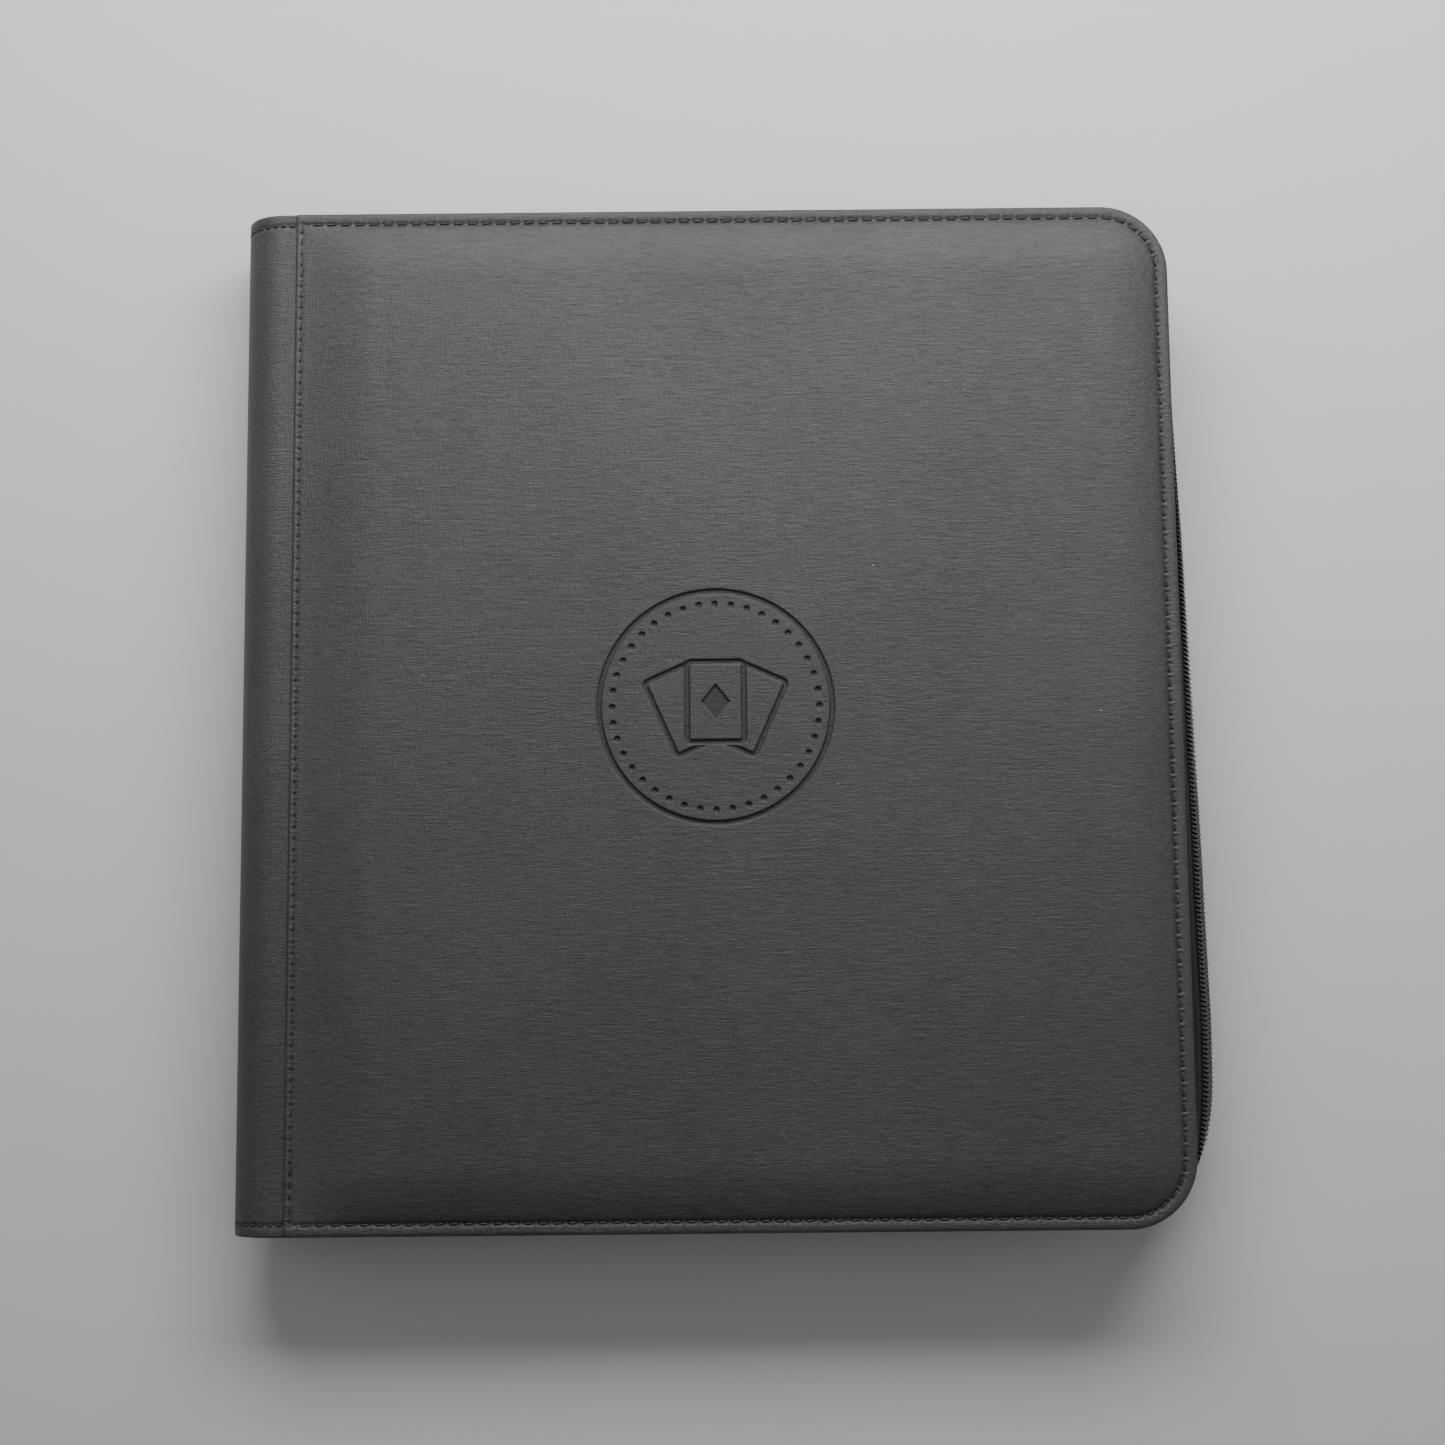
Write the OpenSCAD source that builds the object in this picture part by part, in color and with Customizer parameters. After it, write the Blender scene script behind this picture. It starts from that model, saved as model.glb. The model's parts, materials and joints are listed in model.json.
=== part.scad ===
// Trading card binder with a zip round three sides. It lies shut on its back cover:
// X runs from the spine to the fore edge, Y from the foot to the head and Z up.
// The covers, the spine and every page are built in "spine coordinates", where x = 0
// is the outside of the spine, and place() then centres the binder on the origin.

/* [Covers] */
// Width from the outside of the spine to the fore edge of the covers
cover_w = 318; // [280:1:400]
// Height of the covers from foot to head
cover_h = 346; // [280:1:420]
// Thickness of the shut binder over the padding of both covers
binder_t = 40; // [33:0.1:50]
// Radius of the fore-edge corners of the covers
corner_r = 23; // [16:1:30]
// Thickness of the outer leather
leather_t = 1; // [0.6:0.1:1.4]
// Thickness of the cloth lining
lining_t = 0.8; // [0.4:0.1:1.2]
// Thickness of the stiff board in each cover
board_t = 2.5; // [1.5:0.1:3]
// Height of the padding above the flat sewn border
crown = 4.2; // [3:0.1:5]
// Width over which the padding rises to its full height
crown_w = 16; // [10:1:24]
// Width of the flat border outside the padding
border_w = 5.5; // [4.5:0.1:7]
// Clearance round the board and the foam in their pocket
pad_gap = 0.3; // [0.1:0.1:0.6]

/* [Spine] */
// Flat stretch between the two round halves of the spine
spine_flat = 1.6; // [0.5:0.1:4]
// How far the cover leather starts from the outside of the spine
panel_x = 18.5; // [14:0.1:24]
// How far the spine leather runs on under the cover leather
lap = 12.5; // [3:0.1:16]
// How much wider the padding's shoulder is along the spine than round the edges
seam_ease = 1.6; // [1:0.1:2]
// Thickness of the curved spine stiffener
spine_board_t = 0.85; // [0.5:0.05:1.2]
// Half the angle that the spine stiffener covers on each side of its middle
spine_board_angle = 38; // [20:1:42]
// Gap between the leather of the spine and of the covers along each crease
crease_gap = 0.3; // [0.1:0.1:0.6]

/* [Stitching] */
// Distance of the edge stitching from the edge of the covers
edge_stitch_in = 4; // [3:0.1:5]
// Distance of the lap seam's stitches from the folded edge of the cover leather
lap_stitch_in = 2; // [1:0.1:3]
// Width of a thread
thread_w = 0.6; // [0.4:0.1:1]
// Height of a thread above the leather
thread_h = 0.35; // [0.2:0.05:0.6]

/* [Emblem] */
// Outer radius of the pressed ring on the front cover
emblem_r = 39.8; // [25:0.1:60]
// Width of the pressed lines
emblem_line = 1.6; // [1:0.1:3]
// Depth of the pressed lines
emblem_depth = 0.6; // [0.2:0.1:0.8]
// Distance of the emblem from the middle of the cover, away from the spine
emblem_shift = 2.4; // [-10:0.1:20]

/* [Zip] */
// Thickness of the zip tape
tape_t = 0.8; // [0.5:0.1:1]
// Distance of the tape's outer face from the cover edge where it leaves the cover
tape_out = 0.8; // [0.5:0.1:1.2]
// Distance that the tape reaches in between the leather and the lining
tape_in = 9; // [7:0.1:9.4]
// How far inside the cover edge the shut tape lies at the head and the foot
zip_tuck = 7; // [6:0.1:9]
// How far the coil stands out past the fore edge at its fullest
zip_bulge = 8; // [2:0.1:12]
// Half the height over which the tape lies flat, where the slider runs
zip_flat = 6.5; // [5.5:0.1:8]
// Width of each half of the coil
coil_w = 2.9; // [2:0.1:3.5]
// Thickness of the coil
coil_t = 1.4; // [1:0.1:1.8]
// Clearance between the two halves of the coil
coil_gap = 0.3; // [0.1:0.1:0.6]
// Distance of both ends of the zip from the outside of the spine
zip_start = 31; // [28:1:45]

/* [Slider] */
// Length of the slider along the zip
slider_l = 11; // [9:0.5:14]
// Width of the slider across the zip
slider_w = 9.6; // [8.5:0.1:12]
// Thickness of each plate of the slider
slider_plate = 1.1; // [0.8:0.1:1.4]
// Clearance between the slider and the coil or the tape
slider_gap = 0.35; // [0.2:0.05:0.6]
// Radius of the pin that the pull turns on
pull_pin_r = 0.6; // [0.5:0.05:0.8]
// Running clearance of the pull on its pin
pull_pin_gap = 0.06; // [0.02:0.01:0.1]
// Length of the pull from its pin to its tip
pull_l = 26; // [15:1:40]
// Width of the pull
pull_w = 6.4; // [5:0.1:8]
// Thickness of the pull
pull_t = 1; // [0.8:0.1:1.2]

/* [Pages] */
// Number of pages in the block
page_count = 16; // [16:1:16]
// Clear height left between the pages and the linings at each side
page_gap = 2.6; // [2:0.1:5]
// Thickness of the black sheet inside a page
sheet_t = 0.25; // [0.15:0.05:0.3]
// Thickness of the clear pocket film on each face of a page
film_t = 0.2; // [0.1:0.05:0.22]
// Width of the sewn root of a page, which has no pockets
page_root_w = 12; // [8:1:20]
// Margin of plain sheet round the pocket film
page_margin = 2.5; // [1:0.5:6]
// Distance between the pages and the fore edge of the covers
page_fore_gap = 24; // [16:1:32]
// Distance between the pages and the cover edge at the head and the foot
page_end_gap = 28; // [16:1:40]
// Clearance between a page's hinge line and the binding block
root_gap = 0.3; // [0.2:0.05:0.6]

/* [Hidden] */
$fn = 96;
PI_QUARTER = 3.14159265 / 4;
EPS = 0.01;

mid_z = binder_t / 2;
// underside of the cover leather along its sewn border, seen from the middle of the binder
lap_h = mid_z - crown - leather_t;
lining_h = lap_h - leather_t;
inner_h = lining_h - lining_t;
border_h = lap_h + leather_t;
board_h = lining_h + board_t;

// The spine is two quarter rounds with a short flat between them. Each crease is the
// line about which a cover swings so that the leather keeps its length.
spine_r = lap_h - spine_flat / 2;
crease = spine_r * (1 - PI_QUARTER);
crease_h = lap_h - crease;
arc_h = spine_flat / 2;
board_r = spine_r - leather_t - 0.02;
spine_lining_r = board_r - spine_board_t - 0.03;
block_r = spine_lining_r - lining_t - 0.1;

total_w = cover_w + zip_bulge;
corner_x = cover_w - corner_r;
corner_y = cover_h / 2 - corner_r;
lap_end = panel_x + lap;
pocket_in = tape_in + 0.7;
pocket_x = lap_end + 0.2;
lining_in = tape_out + tape_t + 0.6;

// Pages
block_half = inner_h - page_gap;
page_pitch = 2 * block_half / page_count;
block_x = spine_r - sqrt(pow(block_r, 2) - pow(block_half - arc_h, 2)) + 0.6;
page_x = block_x + root_gap;
page_end_x = cover_w - page_fore_gap;
page_h = cover_h - 2 * page_end_gap;
page_root_clear = 0.4;

// Zip: how the tape's outer face leaves the cover edge, as a share of the tuck (1) or of
// the bulge (-1), against the height up the cover from the foot (-1) to the head (1)
zip_shape = [
    [-1, 1], [-0.94, 0.35], [-0.87, -0.5], [-0.79, -0.88], [-0.72, -1], [-0.6, -1],
    [-0.2, -0.8], [0.35, -0.5], [0.7, -0.15], [0.86, 0.15], [0.94, 0.6], [1, 1]
];
straight_n = 6;
corner_n = 8;
fore_n = 16;
wall_n = 5;

// Slider, in its own x, with y as the depth out from the tape's outer face
slider_x = zip_start + 2;
slider_y = cover_h / 2 - zip_tuck;
plate_y = coil_t + slider_gap;
pull_y = plate_y + slider_plate + 1.7;
barrel_r = 1.3;
barrel_l = 3.2;
lug_t = 0.9;
lug_gap = 0.2;

function two_digits(i) = i < 10 ? str("0", i) : str(i);
function sheet_name(i) = str("page_", two_digits(i), "_sheet");
function pockets_name(i) = str("page_", two_digits(i), "_pockets");

leather_c = [0.2, 0.2, 0.21];
lining_c = [0.12, 0.12, 0.13];
thread_c = [0.3, 0.3, 0.31];
metal_c = [0.62, 0.63, 0.65];

// ---- Frames ----

// From spine coordinates to the binder's own frame
module place() {
    translate([-total_w / 2, 0, 0]) children();
}

// A piece of the front cover, drawn with z measured up from the middle of the binder
module front_side() {
    place() translate([0, 0, mid_z]) children();
}

// The same piece on the back cover
module back_side() {
    place() translate([0, 0, mid_z]) mirror([0, 0, 1]) children();
}

// ---- Outlines ----

// The cover's outline: square at the spine side, round at the two fore-edge corners
module cover_outline(inset, left) {
    r = corner_r - inset;
    translate([left, -corner_y - r]) square([corner_x - left, 2 * (corner_y + r)]);
    translate([left, -corner_y]) square([corner_x + r - left, 2 * corner_y]);
    for (side = [-1, 1]) translate([corner_x, side * corner_y]) circle(r);
}

// The same outline as points, for lofts. The spine side keeps its square corners, and where
// the inset is more than the corners' radius they stay barely rounded.
function outline_points(inset, left, z) =
    let (
        r = max(corner_r - inset, 0.5),
        cx = corner_x + corner_r - inset - r,
        cy = corner_y + corner_r - inset - r
    )
    concat(
        [[left, -cy - r, z]],
        [for (i = [0:corner_n])
            let (a = -90 + 90 * i / corner_n)
            [cx + r * cos(a), -cy + r * sin(a), z]],
        [for (i = [0:corner_n])
            let (a = 90 * i / corner_n)
            [cx + r * cos(a), cy + r * sin(a), z]],
        [[left, cy + r, z]]
    );

// A closed solid through a list of loops that all have the same number of points
module loft(loops) {
    n = len(loops[0]);
    last = len(loops) - 1;
    polyhedron(
        points = [for (loop = loops) each loop],
        faces = concat(
            [[for (j = [0:n - 1]) n - 1 - j]],
            [[for (j = [0:n - 1]) last * n + j]],
            [for (i = [0:last - 1], j = [0:n - 1])
                [i * n + j, i * n + (j + 1) % n, (i + 1) * n + (j + 1) % n]],
            [for (i = [0:last - 1], j = [0:n - 1])
                [i * n + j, (i + 1) * n + (j + 1) % n, (i + 1) * n + j]]
        ),
        convexity = 6
    );
}

// Loops of a padded form that rises from h0 at an inset to h1, as a quarter of an ellipse.
// Along the spine the rise is gentler.
function crown_loops(inset, left, h0, h1, steps = 4) = [
    for (k = [0:steps])
        let (a = 90 * k / steps, in = crown_w * (1 - cos(a)))
        outline_points(inset + in, left + seam_ease * in, h0 + (h1 - h0) * sin(a))
];

// ---- Covers ----

// Padded outer leather of a cover: up round the inside of the pocket for the foam and the
// board, out along the underside of the border, and back over the padding, in one skin
module panel_shell() {
    pocket = crown_loops(pocket_in, pocket_x, board_h, mid_z - leather_t);
    crown_x = panel_x + lap_stitch_in + 1.5;
    loft(concat(
        [for (k = [len(pocket) - 1:-1:0]) pocket[k]],
        [
            outline_points(pocket_in, pocket_x, lap_h),
            outline_points(0, panel_x, lap_h),
            outline_points(0, panel_x, border_h)
        ],
        crown_loops(border_w, crown_x, border_h, mid_z)
    ));
}

module foam_pad() {
    loft(crown_loops(pocket_in + pad_gap, pocket_x + pad_gap, board_h, mid_z - leather_t - 0.1));
}

module cover_board() {
    translate([0, 0, lining_h])
        linear_extrude(board_t)
            cover_outline(pocket_in + pad_gap, pocket_x + pad_gap);
}

// A quarter of the round spine, as an area in x and height, from the crease to its tangent
module spine_quarter(r, t, from_angle, to_angle) {
    reach = 2 * r;
    translate([spine_r, arc_h]) intersection() {
        difference() {
            circle(r);
            circle(r - t);
        }
        polygon([
            [0, 0],
            [-reach * cos(from_angle), reach * sin(from_angle)],
            [-reach * cos((from_angle + to_angle) / 2), reach * sin((from_angle + to_angle) / 2)],
            [-reach * cos(to_angle), reach * sin(to_angle)]
        ]);
    }
}

// Stand an area drawn in x and height up as a strip of the given length along Y
module along_spine(length) {
    translate([0, length / 2, 0]) rotate([90, 0, 0]) linear_extrude(length) children();
}

// Angle, seen from the middle of the round, that half the crease gap takes up
crease_angle = asin(crease_gap / 2 / spine_r);

// Spine leather on the cover's side of the crease, as far as its lap under the cover leather
module hinge_strip() {
    along_spine(cover_h) {
        spine_quarter(spine_r, leather_t, 45 + crease_angle, 90);
        translate([spine_r, lining_h]) square([lap_end - spine_r, leather_t]);
    }
}

module cover_lining() {
    along_spine(cover_h - 2 * lining_in) {
        spine_quarter(spine_r - leather_t - 0.02, lining_t - 0.02, 45 + crease_angle, 90);
    }
    translate([0, 0, inner_h])
        linear_extrude(lining_t) cover_outline(lining_in, spine_r);
}

module edge_stitching() {
    translate([0, 0, border_h]) linear_extrude(thread_h) difference() {
        cover_outline(edge_stitch_in - thread_w / 2, panel_x + lap_stitch_in + 2);
        cover_outline(edge_stitch_in + thread_w / 2, panel_x);
    }
}

module lap_stitching() {
    translate([panel_x + lap_stitch_in - thread_w / 2, edge_stitch_in - cover_h / 2, border_h])
        cube([thread_w, cover_h - 2 * edge_stitch_in, thread_h]);
}

// ---- Zip ----

// Places round the cover from the head to the foot: x, y, then the way out of the cover
stations = concat(
    [for (i = [0:straight_n - 1])
        [zip_start + i * (corner_x - zip_start) / straight_n, cover_h / 2, 0, 1]],
    [for (i = [0:corner_n])
        let (a = 90 - 90 * i / corner_n)
        [corner_x + corner_r * cos(a), corner_y + corner_r * sin(a), cos(a), sin(a)]],
    [for (i = [1:fore_n - 1]) [cover_w, corner_y - 2 * corner_y * i / fore_n, 1, 0]],
    [for (i = [0:corner_n])
        let (a = -90 * i / corner_n)
        [corner_x + corner_r * cos(a), -corner_y + corner_r * sin(a), cos(a), sin(a)]],
    [for (i = [1:straight_n])
        [corner_x - i * (corner_x - zip_start) / straight_n, -cover_h / 2, 0, -1]]
);

function smooth(t) = let (u = min(max(t, 0), 1)) u * u * (3 - 2 * u);

// Inset of the tape's outer face from the cover edge, in the middle plane of the binder
function zip_inset(s) =
    let (k = lookup(s[1] / (cover_h / 2), zip_shape))
    k > 0 ? k * zip_tuck : k * (zip_bulge - coil_t);

// The same at a height from the middle plane
function tape_inset(s, h) =
    tape_out + (zip_inset(s) - tape_out) * smooth((lining_h - h) / (lining_h - zip_flat));

function out_point(s, inset, h) = [s[0] - s[2] * inset, s[1] - s[3] * inset, h];

wall_heights = concat(
    [for (k = [0:wall_n]) lining_h - (lining_h - zip_flat) * k / wall_n],
    [coil_gap + 0.1]
);

// Across the tape: along the strip sewn between leather and lining, then down to the coil
function tape_section(s) = concat(
    [out_point(s, tape_in, lining_h), out_point(s, tape_in, lap_h), out_point(s, tape_out, lap_h)],
    [for (h = wall_heights) out_point(s, tape_inset(s, h), h)],
    [for (k = [len(wall_heights) - 1:-1:0])
        out_point(s, tape_inset(s, wall_heights[k]) + tape_t, wall_heights[k])]
);

module zip_tape() {
    loft([for (s = stations) tape_section(s)]);
}

module zip_coil() {
    loft([
        for (s = stations)
            let (inset = zip_inset(s))
            [
                out_point(s, inset - coil_t, coil_w),
                out_point(s, inset - coil_t, coil_gap / 2),
                out_point(s, inset - EPS, coil_gap / 2),
                out_point(s, inset - EPS, coil_w)
            ]
    ]);
}

// Slider and pull are drawn with the pull's pin along Z through the origin of x, the tape's
// outer face at y = 0 and the middle plane of the binder at z = 0
module at_slider() {
    place() translate([slider_x, slider_y, mid_z]) children();
}

module slider_plate_shape() {
    r = 2;
    hull() for (sx = [-1, 1], sz = [-1, 1])
        translate([sx * (slider_l / 2 - r), sz * (slider_w / 2 - r)]) circle(r, $fn = 32);
}

// A plate that stands in the plane of the tape, between two depths
module slider_slab(y0, y1) {
    translate([0, y1, 0]) rotate([90, 0, 0]) linear_extrude(y1 - y0) children();
}

module slider() {
    at_slider() {
        slider_slab(plate_y, plate_y + slider_plate) slider_plate_shape();
        slider_slab(-tape_t - slider_gap - slider_plate, -tape_t - slider_gap)
            slider_plate_shape();
        // the wedge that parts the two halves of the coil, beyond their ends
        slider_slab(-tape_t - slider_gap - EPS, plate_y + EPS)
            translate([-slider_l / 2 + 0.6, -coil_gap / 2 + 0.1]) square([2.4, coil_gap - 0.2]);
        // lugs and pin
        for (side = [-1, 1])
            translate([0, 0, side * (barrel_l / 2 + lug_gap + lug_t / 2)]) {
                translate([-1.3, plate_y + slider_plate - EPS, -lug_t / 2])
                    cube([2.6, pull_y - plate_y - slider_plate + EPS, lug_t]);
                translate([0, pull_y, -lug_t / 2]) cylinder(r = 1.3, h = lug_t);
            }
        translate([0, pull_y, -barrel_l / 2 - lug_gap - lug_t / 2])
            cylinder(r = pull_pin_r, h = barrel_l + 2 * lug_gap + lug_t);
    }
}

module pull() {
    at_slider() translate([0, pull_y, 0]) difference() {
        union() {
            translate([0, 0, -barrel_l / 2]) cylinder(r = barrel_r, h = barrel_l);
            translate([0, -pull_t / 2, -barrel_l / 2]) cube([5, pull_t, barrel_l]);
            slider_slab(-pull_t / 2, pull_t / 2) {
                translate([4, -pull_w / 2]) square([pull_l - 4 - pull_w / 2, pull_w]);
                translate([pull_l - pull_w / 2, 0]) circle(pull_w / 2);
            }
        }
        translate([0, 0, -barrel_l])
            cylinder(r = pull_pin_r + pull_pin_gap, h = 2 * barrel_l);
        translate([pull_l - pull_w / 2, pull_t, 0]) rotate([90, 0, 0])
            cylinder(r = 1.5, h = 2 * pull_t);
    }
}

// ---- Emblem ----

// Outline of a playing-card shape, as a line
module card_outline(w, h, r, line) {
    difference() {
        card_area(w, h, r);
        card_area(w - 2 * line, h - 2 * line, max(r - line, 0.4));
    }
}

module card_area(w, h, r) {
    translate([-w / 2 + r, -h / 2]) square([w - 2 * r, h]);
    translate([-w / 2, -h / 2 + r]) square([w, h - 2 * r]);
    for (sx = [-1, 1], sy = [-1, 1])
        translate([sx * (w / 2 - r), sy * (h / 2 - r)]) circle(r);
}

card_w = emblem_r * 0.56;
card_h = emblem_r * 0.78;
card_r = emblem_r * 0.06;
fan_angle = 24;

// One card of the fan, turned about a point below it
module fan_card(turn) {
    translate([0, -emblem_r * 0.62]) rotate(turn) translate([0, emblem_r * 0.66]) children();
}

module emblem_lines() {
    difference() {
        circle(emblem_r);
        circle(emblem_r - emblem_line);
    }
    difference() {
        for (turn = [-fan_angle, fan_angle])
            fan_card(turn) card_outline(card_w, card_h, card_r, emblem_line);
        fan_card(0) card_area(card_w, card_h, card_r);
    }
    fan_card(0) card_outline(card_w, card_h, card_r, emblem_line);
}

// ---- Spine ----

module spine_ring(r, t, half_angle) {
    for (side = [0, 1]) mirror([0, side, 0]) {
        spine_quarter(r, t, 0, half_angle);
        translate([spine_r - r, -EPS]) square([t, arc_h + EPS]);
    }
}

module spine_layer(r, t, half_angle, length) {
    place() translate([0, 0, mid_z]) along_spine(length) spine_ring(r, t, half_angle);
}

// Block that the roots of the pages are sewn to, glued inside the round of the spine
module binding_block() {
    place() translate([0, 0, mid_z]) along_spine(page_h) intersection() {
        union() {
            for (side = [-1, 1]) translate([spine_r, side * arc_h]) circle(block_r);
            translate([spine_r - block_r, -arc_h]) square([block_r, 2 * arc_h]);
        }
        translate([0, -block_half]) square([block_x, 2 * block_half]);
    }
}

// ---- Pages ----

function page_z(i) = mid_z + (i - (page_count + 1) / 2) * page_pitch;

module page_sheet(i) {
    color("black") place()
        translate([page_x + page_root_clear, -page_h / 2, page_z(i) - sheet_t / 2])
            cube([page_end_x - page_x - page_root_clear, page_h, sheet_t]);
}

module page_pockets(i) {
    w = page_end_x - page_x - page_root_w - page_margin;
    color([0.75, 0.8, 0.85, 0.4]) place()
        for (side = [-1, 1])
            translate([
                page_x + page_root_w,
                -page_h / 2 + page_margin,
                page_z(i) + side * (sheet_t + film_t) / 2 - film_t / 2
            ])
                cube([w, page_h - 2 * page_margin, film_t]);
}

// ---- Nodes ----

module back_panel() { color(leather_c) back_side() panel_shell(); }
module back_foam() { color("dimgray") back_side() foam_pad(); }
module back_board() { color("tan") back_side() cover_board(); }
module back_lining() { color(lining_c) back_side() cover_lining(); }
module back_hinge_strip() { color(leather_c) back_side() hinge_strip(); }
module back_edge_stitching() { color(thread_c) back_side() edge_stitching(); }
module back_spine_stitching() { color(thread_c) back_side() lap_stitching(); }
module back_zip_tape() { color(lining_c) back_side() zip_tape(); }
module back_zip_coil() { color("black") back_side() zip_coil(); }

module spine_wrap() {
    color(leather_c) spine_layer(spine_r, leather_t, 45 - crease_angle, cover_h);
}
module spine_board() {
    color("tan") spine_layer(board_r, spine_board_t, spine_board_angle, cover_h - 12);
}
module spine_lining() {
    color(lining_c)
        spine_layer(spine_lining_r, lining_t, 45 - crease_angle, cover_h - 2 * lining_in);
}
module page_binding_block() { color("black") binding_block(); }

module front_panel() {
    color(leather_c) front_side() difference() {
        panel_shell();
        translate([cover_w / 2 + emblem_shift, 0, mid_z - emblem_depth])
            linear_extrude(emblem_depth + 1) emblem_lines();
    }
}
module front_foam() { color("dimgray") front_side() foam_pad(); }
module front_board() { color("tan") front_side() cover_board(); }
module front_lining() { color(lining_c) front_side() cover_lining(); }
module front_hinge_strip() { color(leather_c) front_side() hinge_strip(); }
module front_edge_stitching() { color(thread_c) front_side() edge_stitching(); }
module front_spine_stitching() { color(thread_c) front_side() lap_stitching(); }
module front_zip_tape() { color(lining_c) front_side() zip_tape(); }
module front_zip_coil() { color("black") front_side() zip_coil(); }

module zip_slider() { color(metal_c) slider(); }
module zip_pull() { color(metal_c) pull(); }

back_panel();
back_foam();
back_board();
back_lining();
back_hinge_strip();
back_edge_stitching();
back_spine_stitching();
back_zip_tape();
back_zip_coil();
spine_wrap();
spine_board();
spine_lining();
page_binding_block();
front_panel();
front_foam();
front_board();
front_lining();
front_hinge_strip();
front_edge_stitching();
front_spine_stitching();
front_zip_tape();
front_zip_coil();
zip_slider();
zip_pull();
for (i = [1:page_count]) page_sheet(i);
for (i = [1:page_count]) page_pockets(i);
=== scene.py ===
"""Zip-round card binder: leather, stitching, zip, linings and pages, made on its frame."""

import json
import math

import bmesh
import bpy
import numpy as np
from bpy.props import FloatProperty, FloatVectorProperty, IntProperty, PointerProperty
from mathutils import Euler, Matrix, Vector

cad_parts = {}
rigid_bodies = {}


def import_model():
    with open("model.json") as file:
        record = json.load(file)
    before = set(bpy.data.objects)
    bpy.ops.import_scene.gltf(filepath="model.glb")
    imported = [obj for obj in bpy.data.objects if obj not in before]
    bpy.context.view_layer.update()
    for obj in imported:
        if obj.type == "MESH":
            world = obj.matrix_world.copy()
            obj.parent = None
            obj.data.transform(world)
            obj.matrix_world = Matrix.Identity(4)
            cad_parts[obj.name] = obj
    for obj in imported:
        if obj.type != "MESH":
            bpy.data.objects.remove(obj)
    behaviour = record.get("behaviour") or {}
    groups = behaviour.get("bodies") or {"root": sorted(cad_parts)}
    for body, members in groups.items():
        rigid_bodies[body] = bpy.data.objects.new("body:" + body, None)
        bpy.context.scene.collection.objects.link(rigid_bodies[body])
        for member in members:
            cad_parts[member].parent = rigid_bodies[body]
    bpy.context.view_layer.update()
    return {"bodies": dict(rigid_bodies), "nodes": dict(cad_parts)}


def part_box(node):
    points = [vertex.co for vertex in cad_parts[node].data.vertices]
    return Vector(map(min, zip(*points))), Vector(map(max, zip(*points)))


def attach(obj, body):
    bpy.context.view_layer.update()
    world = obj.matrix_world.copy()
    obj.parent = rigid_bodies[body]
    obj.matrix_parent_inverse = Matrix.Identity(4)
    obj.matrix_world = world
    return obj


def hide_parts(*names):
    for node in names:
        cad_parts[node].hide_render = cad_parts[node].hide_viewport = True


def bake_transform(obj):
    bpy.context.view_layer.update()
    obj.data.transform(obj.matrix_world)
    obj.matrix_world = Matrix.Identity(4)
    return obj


bl_info = {
    "name": "Zip-round card binder",
    "version": (1, 0, 0),
    "blender": (4, 5, 0),
    "location": "View3D > Sidebar > Binder",
    "description": "Makes the leather, stitching, zip, linings and pages of a card binder",
    "category": "Object",
}

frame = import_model()

MM = 0.001
FULL_TURN = 2 * math.pi

# ---- Places taken from the frame ----

PANEL_LOW, PANEL_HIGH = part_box("front_panel")
LINING_LOW, LINING_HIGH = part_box("front_lining")

SPINE_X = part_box("spine_wrap")[0][0]
PANEL_X = PANEL_LOW[0]
FORE_X = PANEL_HIGH[0]
TAPE_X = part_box("front_zip_tape")[0][0]
LAP_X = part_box("front_hinge_strip")[1][0]
BULGE_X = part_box("front_zip_coil")[1][0]
HALF_H = PANEL_HIGH[1]
# heights are measured up from the middle plane of the shut binder
MID_Z = (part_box("back_panel")[0][2] + PANEL_HIGH[2]) / 2
LAP_H = PANEL_LOW[2] - MID_Z
TOP_H = PANEL_HIGH[2] - MID_Z
LINING_H = LINING_LOW[2] - MID_Z

# each half of the binder, and the side of its middle plane on which it lies when shut
SIDES = (("front", 1), ("back", -1))

# how far in from a folded edge the leather begins to roll over, and how far it rolls down
EDGE_ROLL = (1.4 * MM, 0.9 * MM)
SEAM_ROLL = (1.1 * MM, 0.93 * MM)
# room for the stiffener between the spine's leather and its lining, and the lining's thickness
STIFFENER_ROOM = 0.95 * MM
SPINE_CLOTH = 0.75 * MM
# the tape is sewn under the cover's leather from its outer face in to this depth, and turns
# down below this height
TAPE_OUT = 0.8 * MM
TAPE_SEWN = 7 * MM
TAPE_TOP = LAP_H - 1 * MM


# ---- Settings ----

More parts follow.
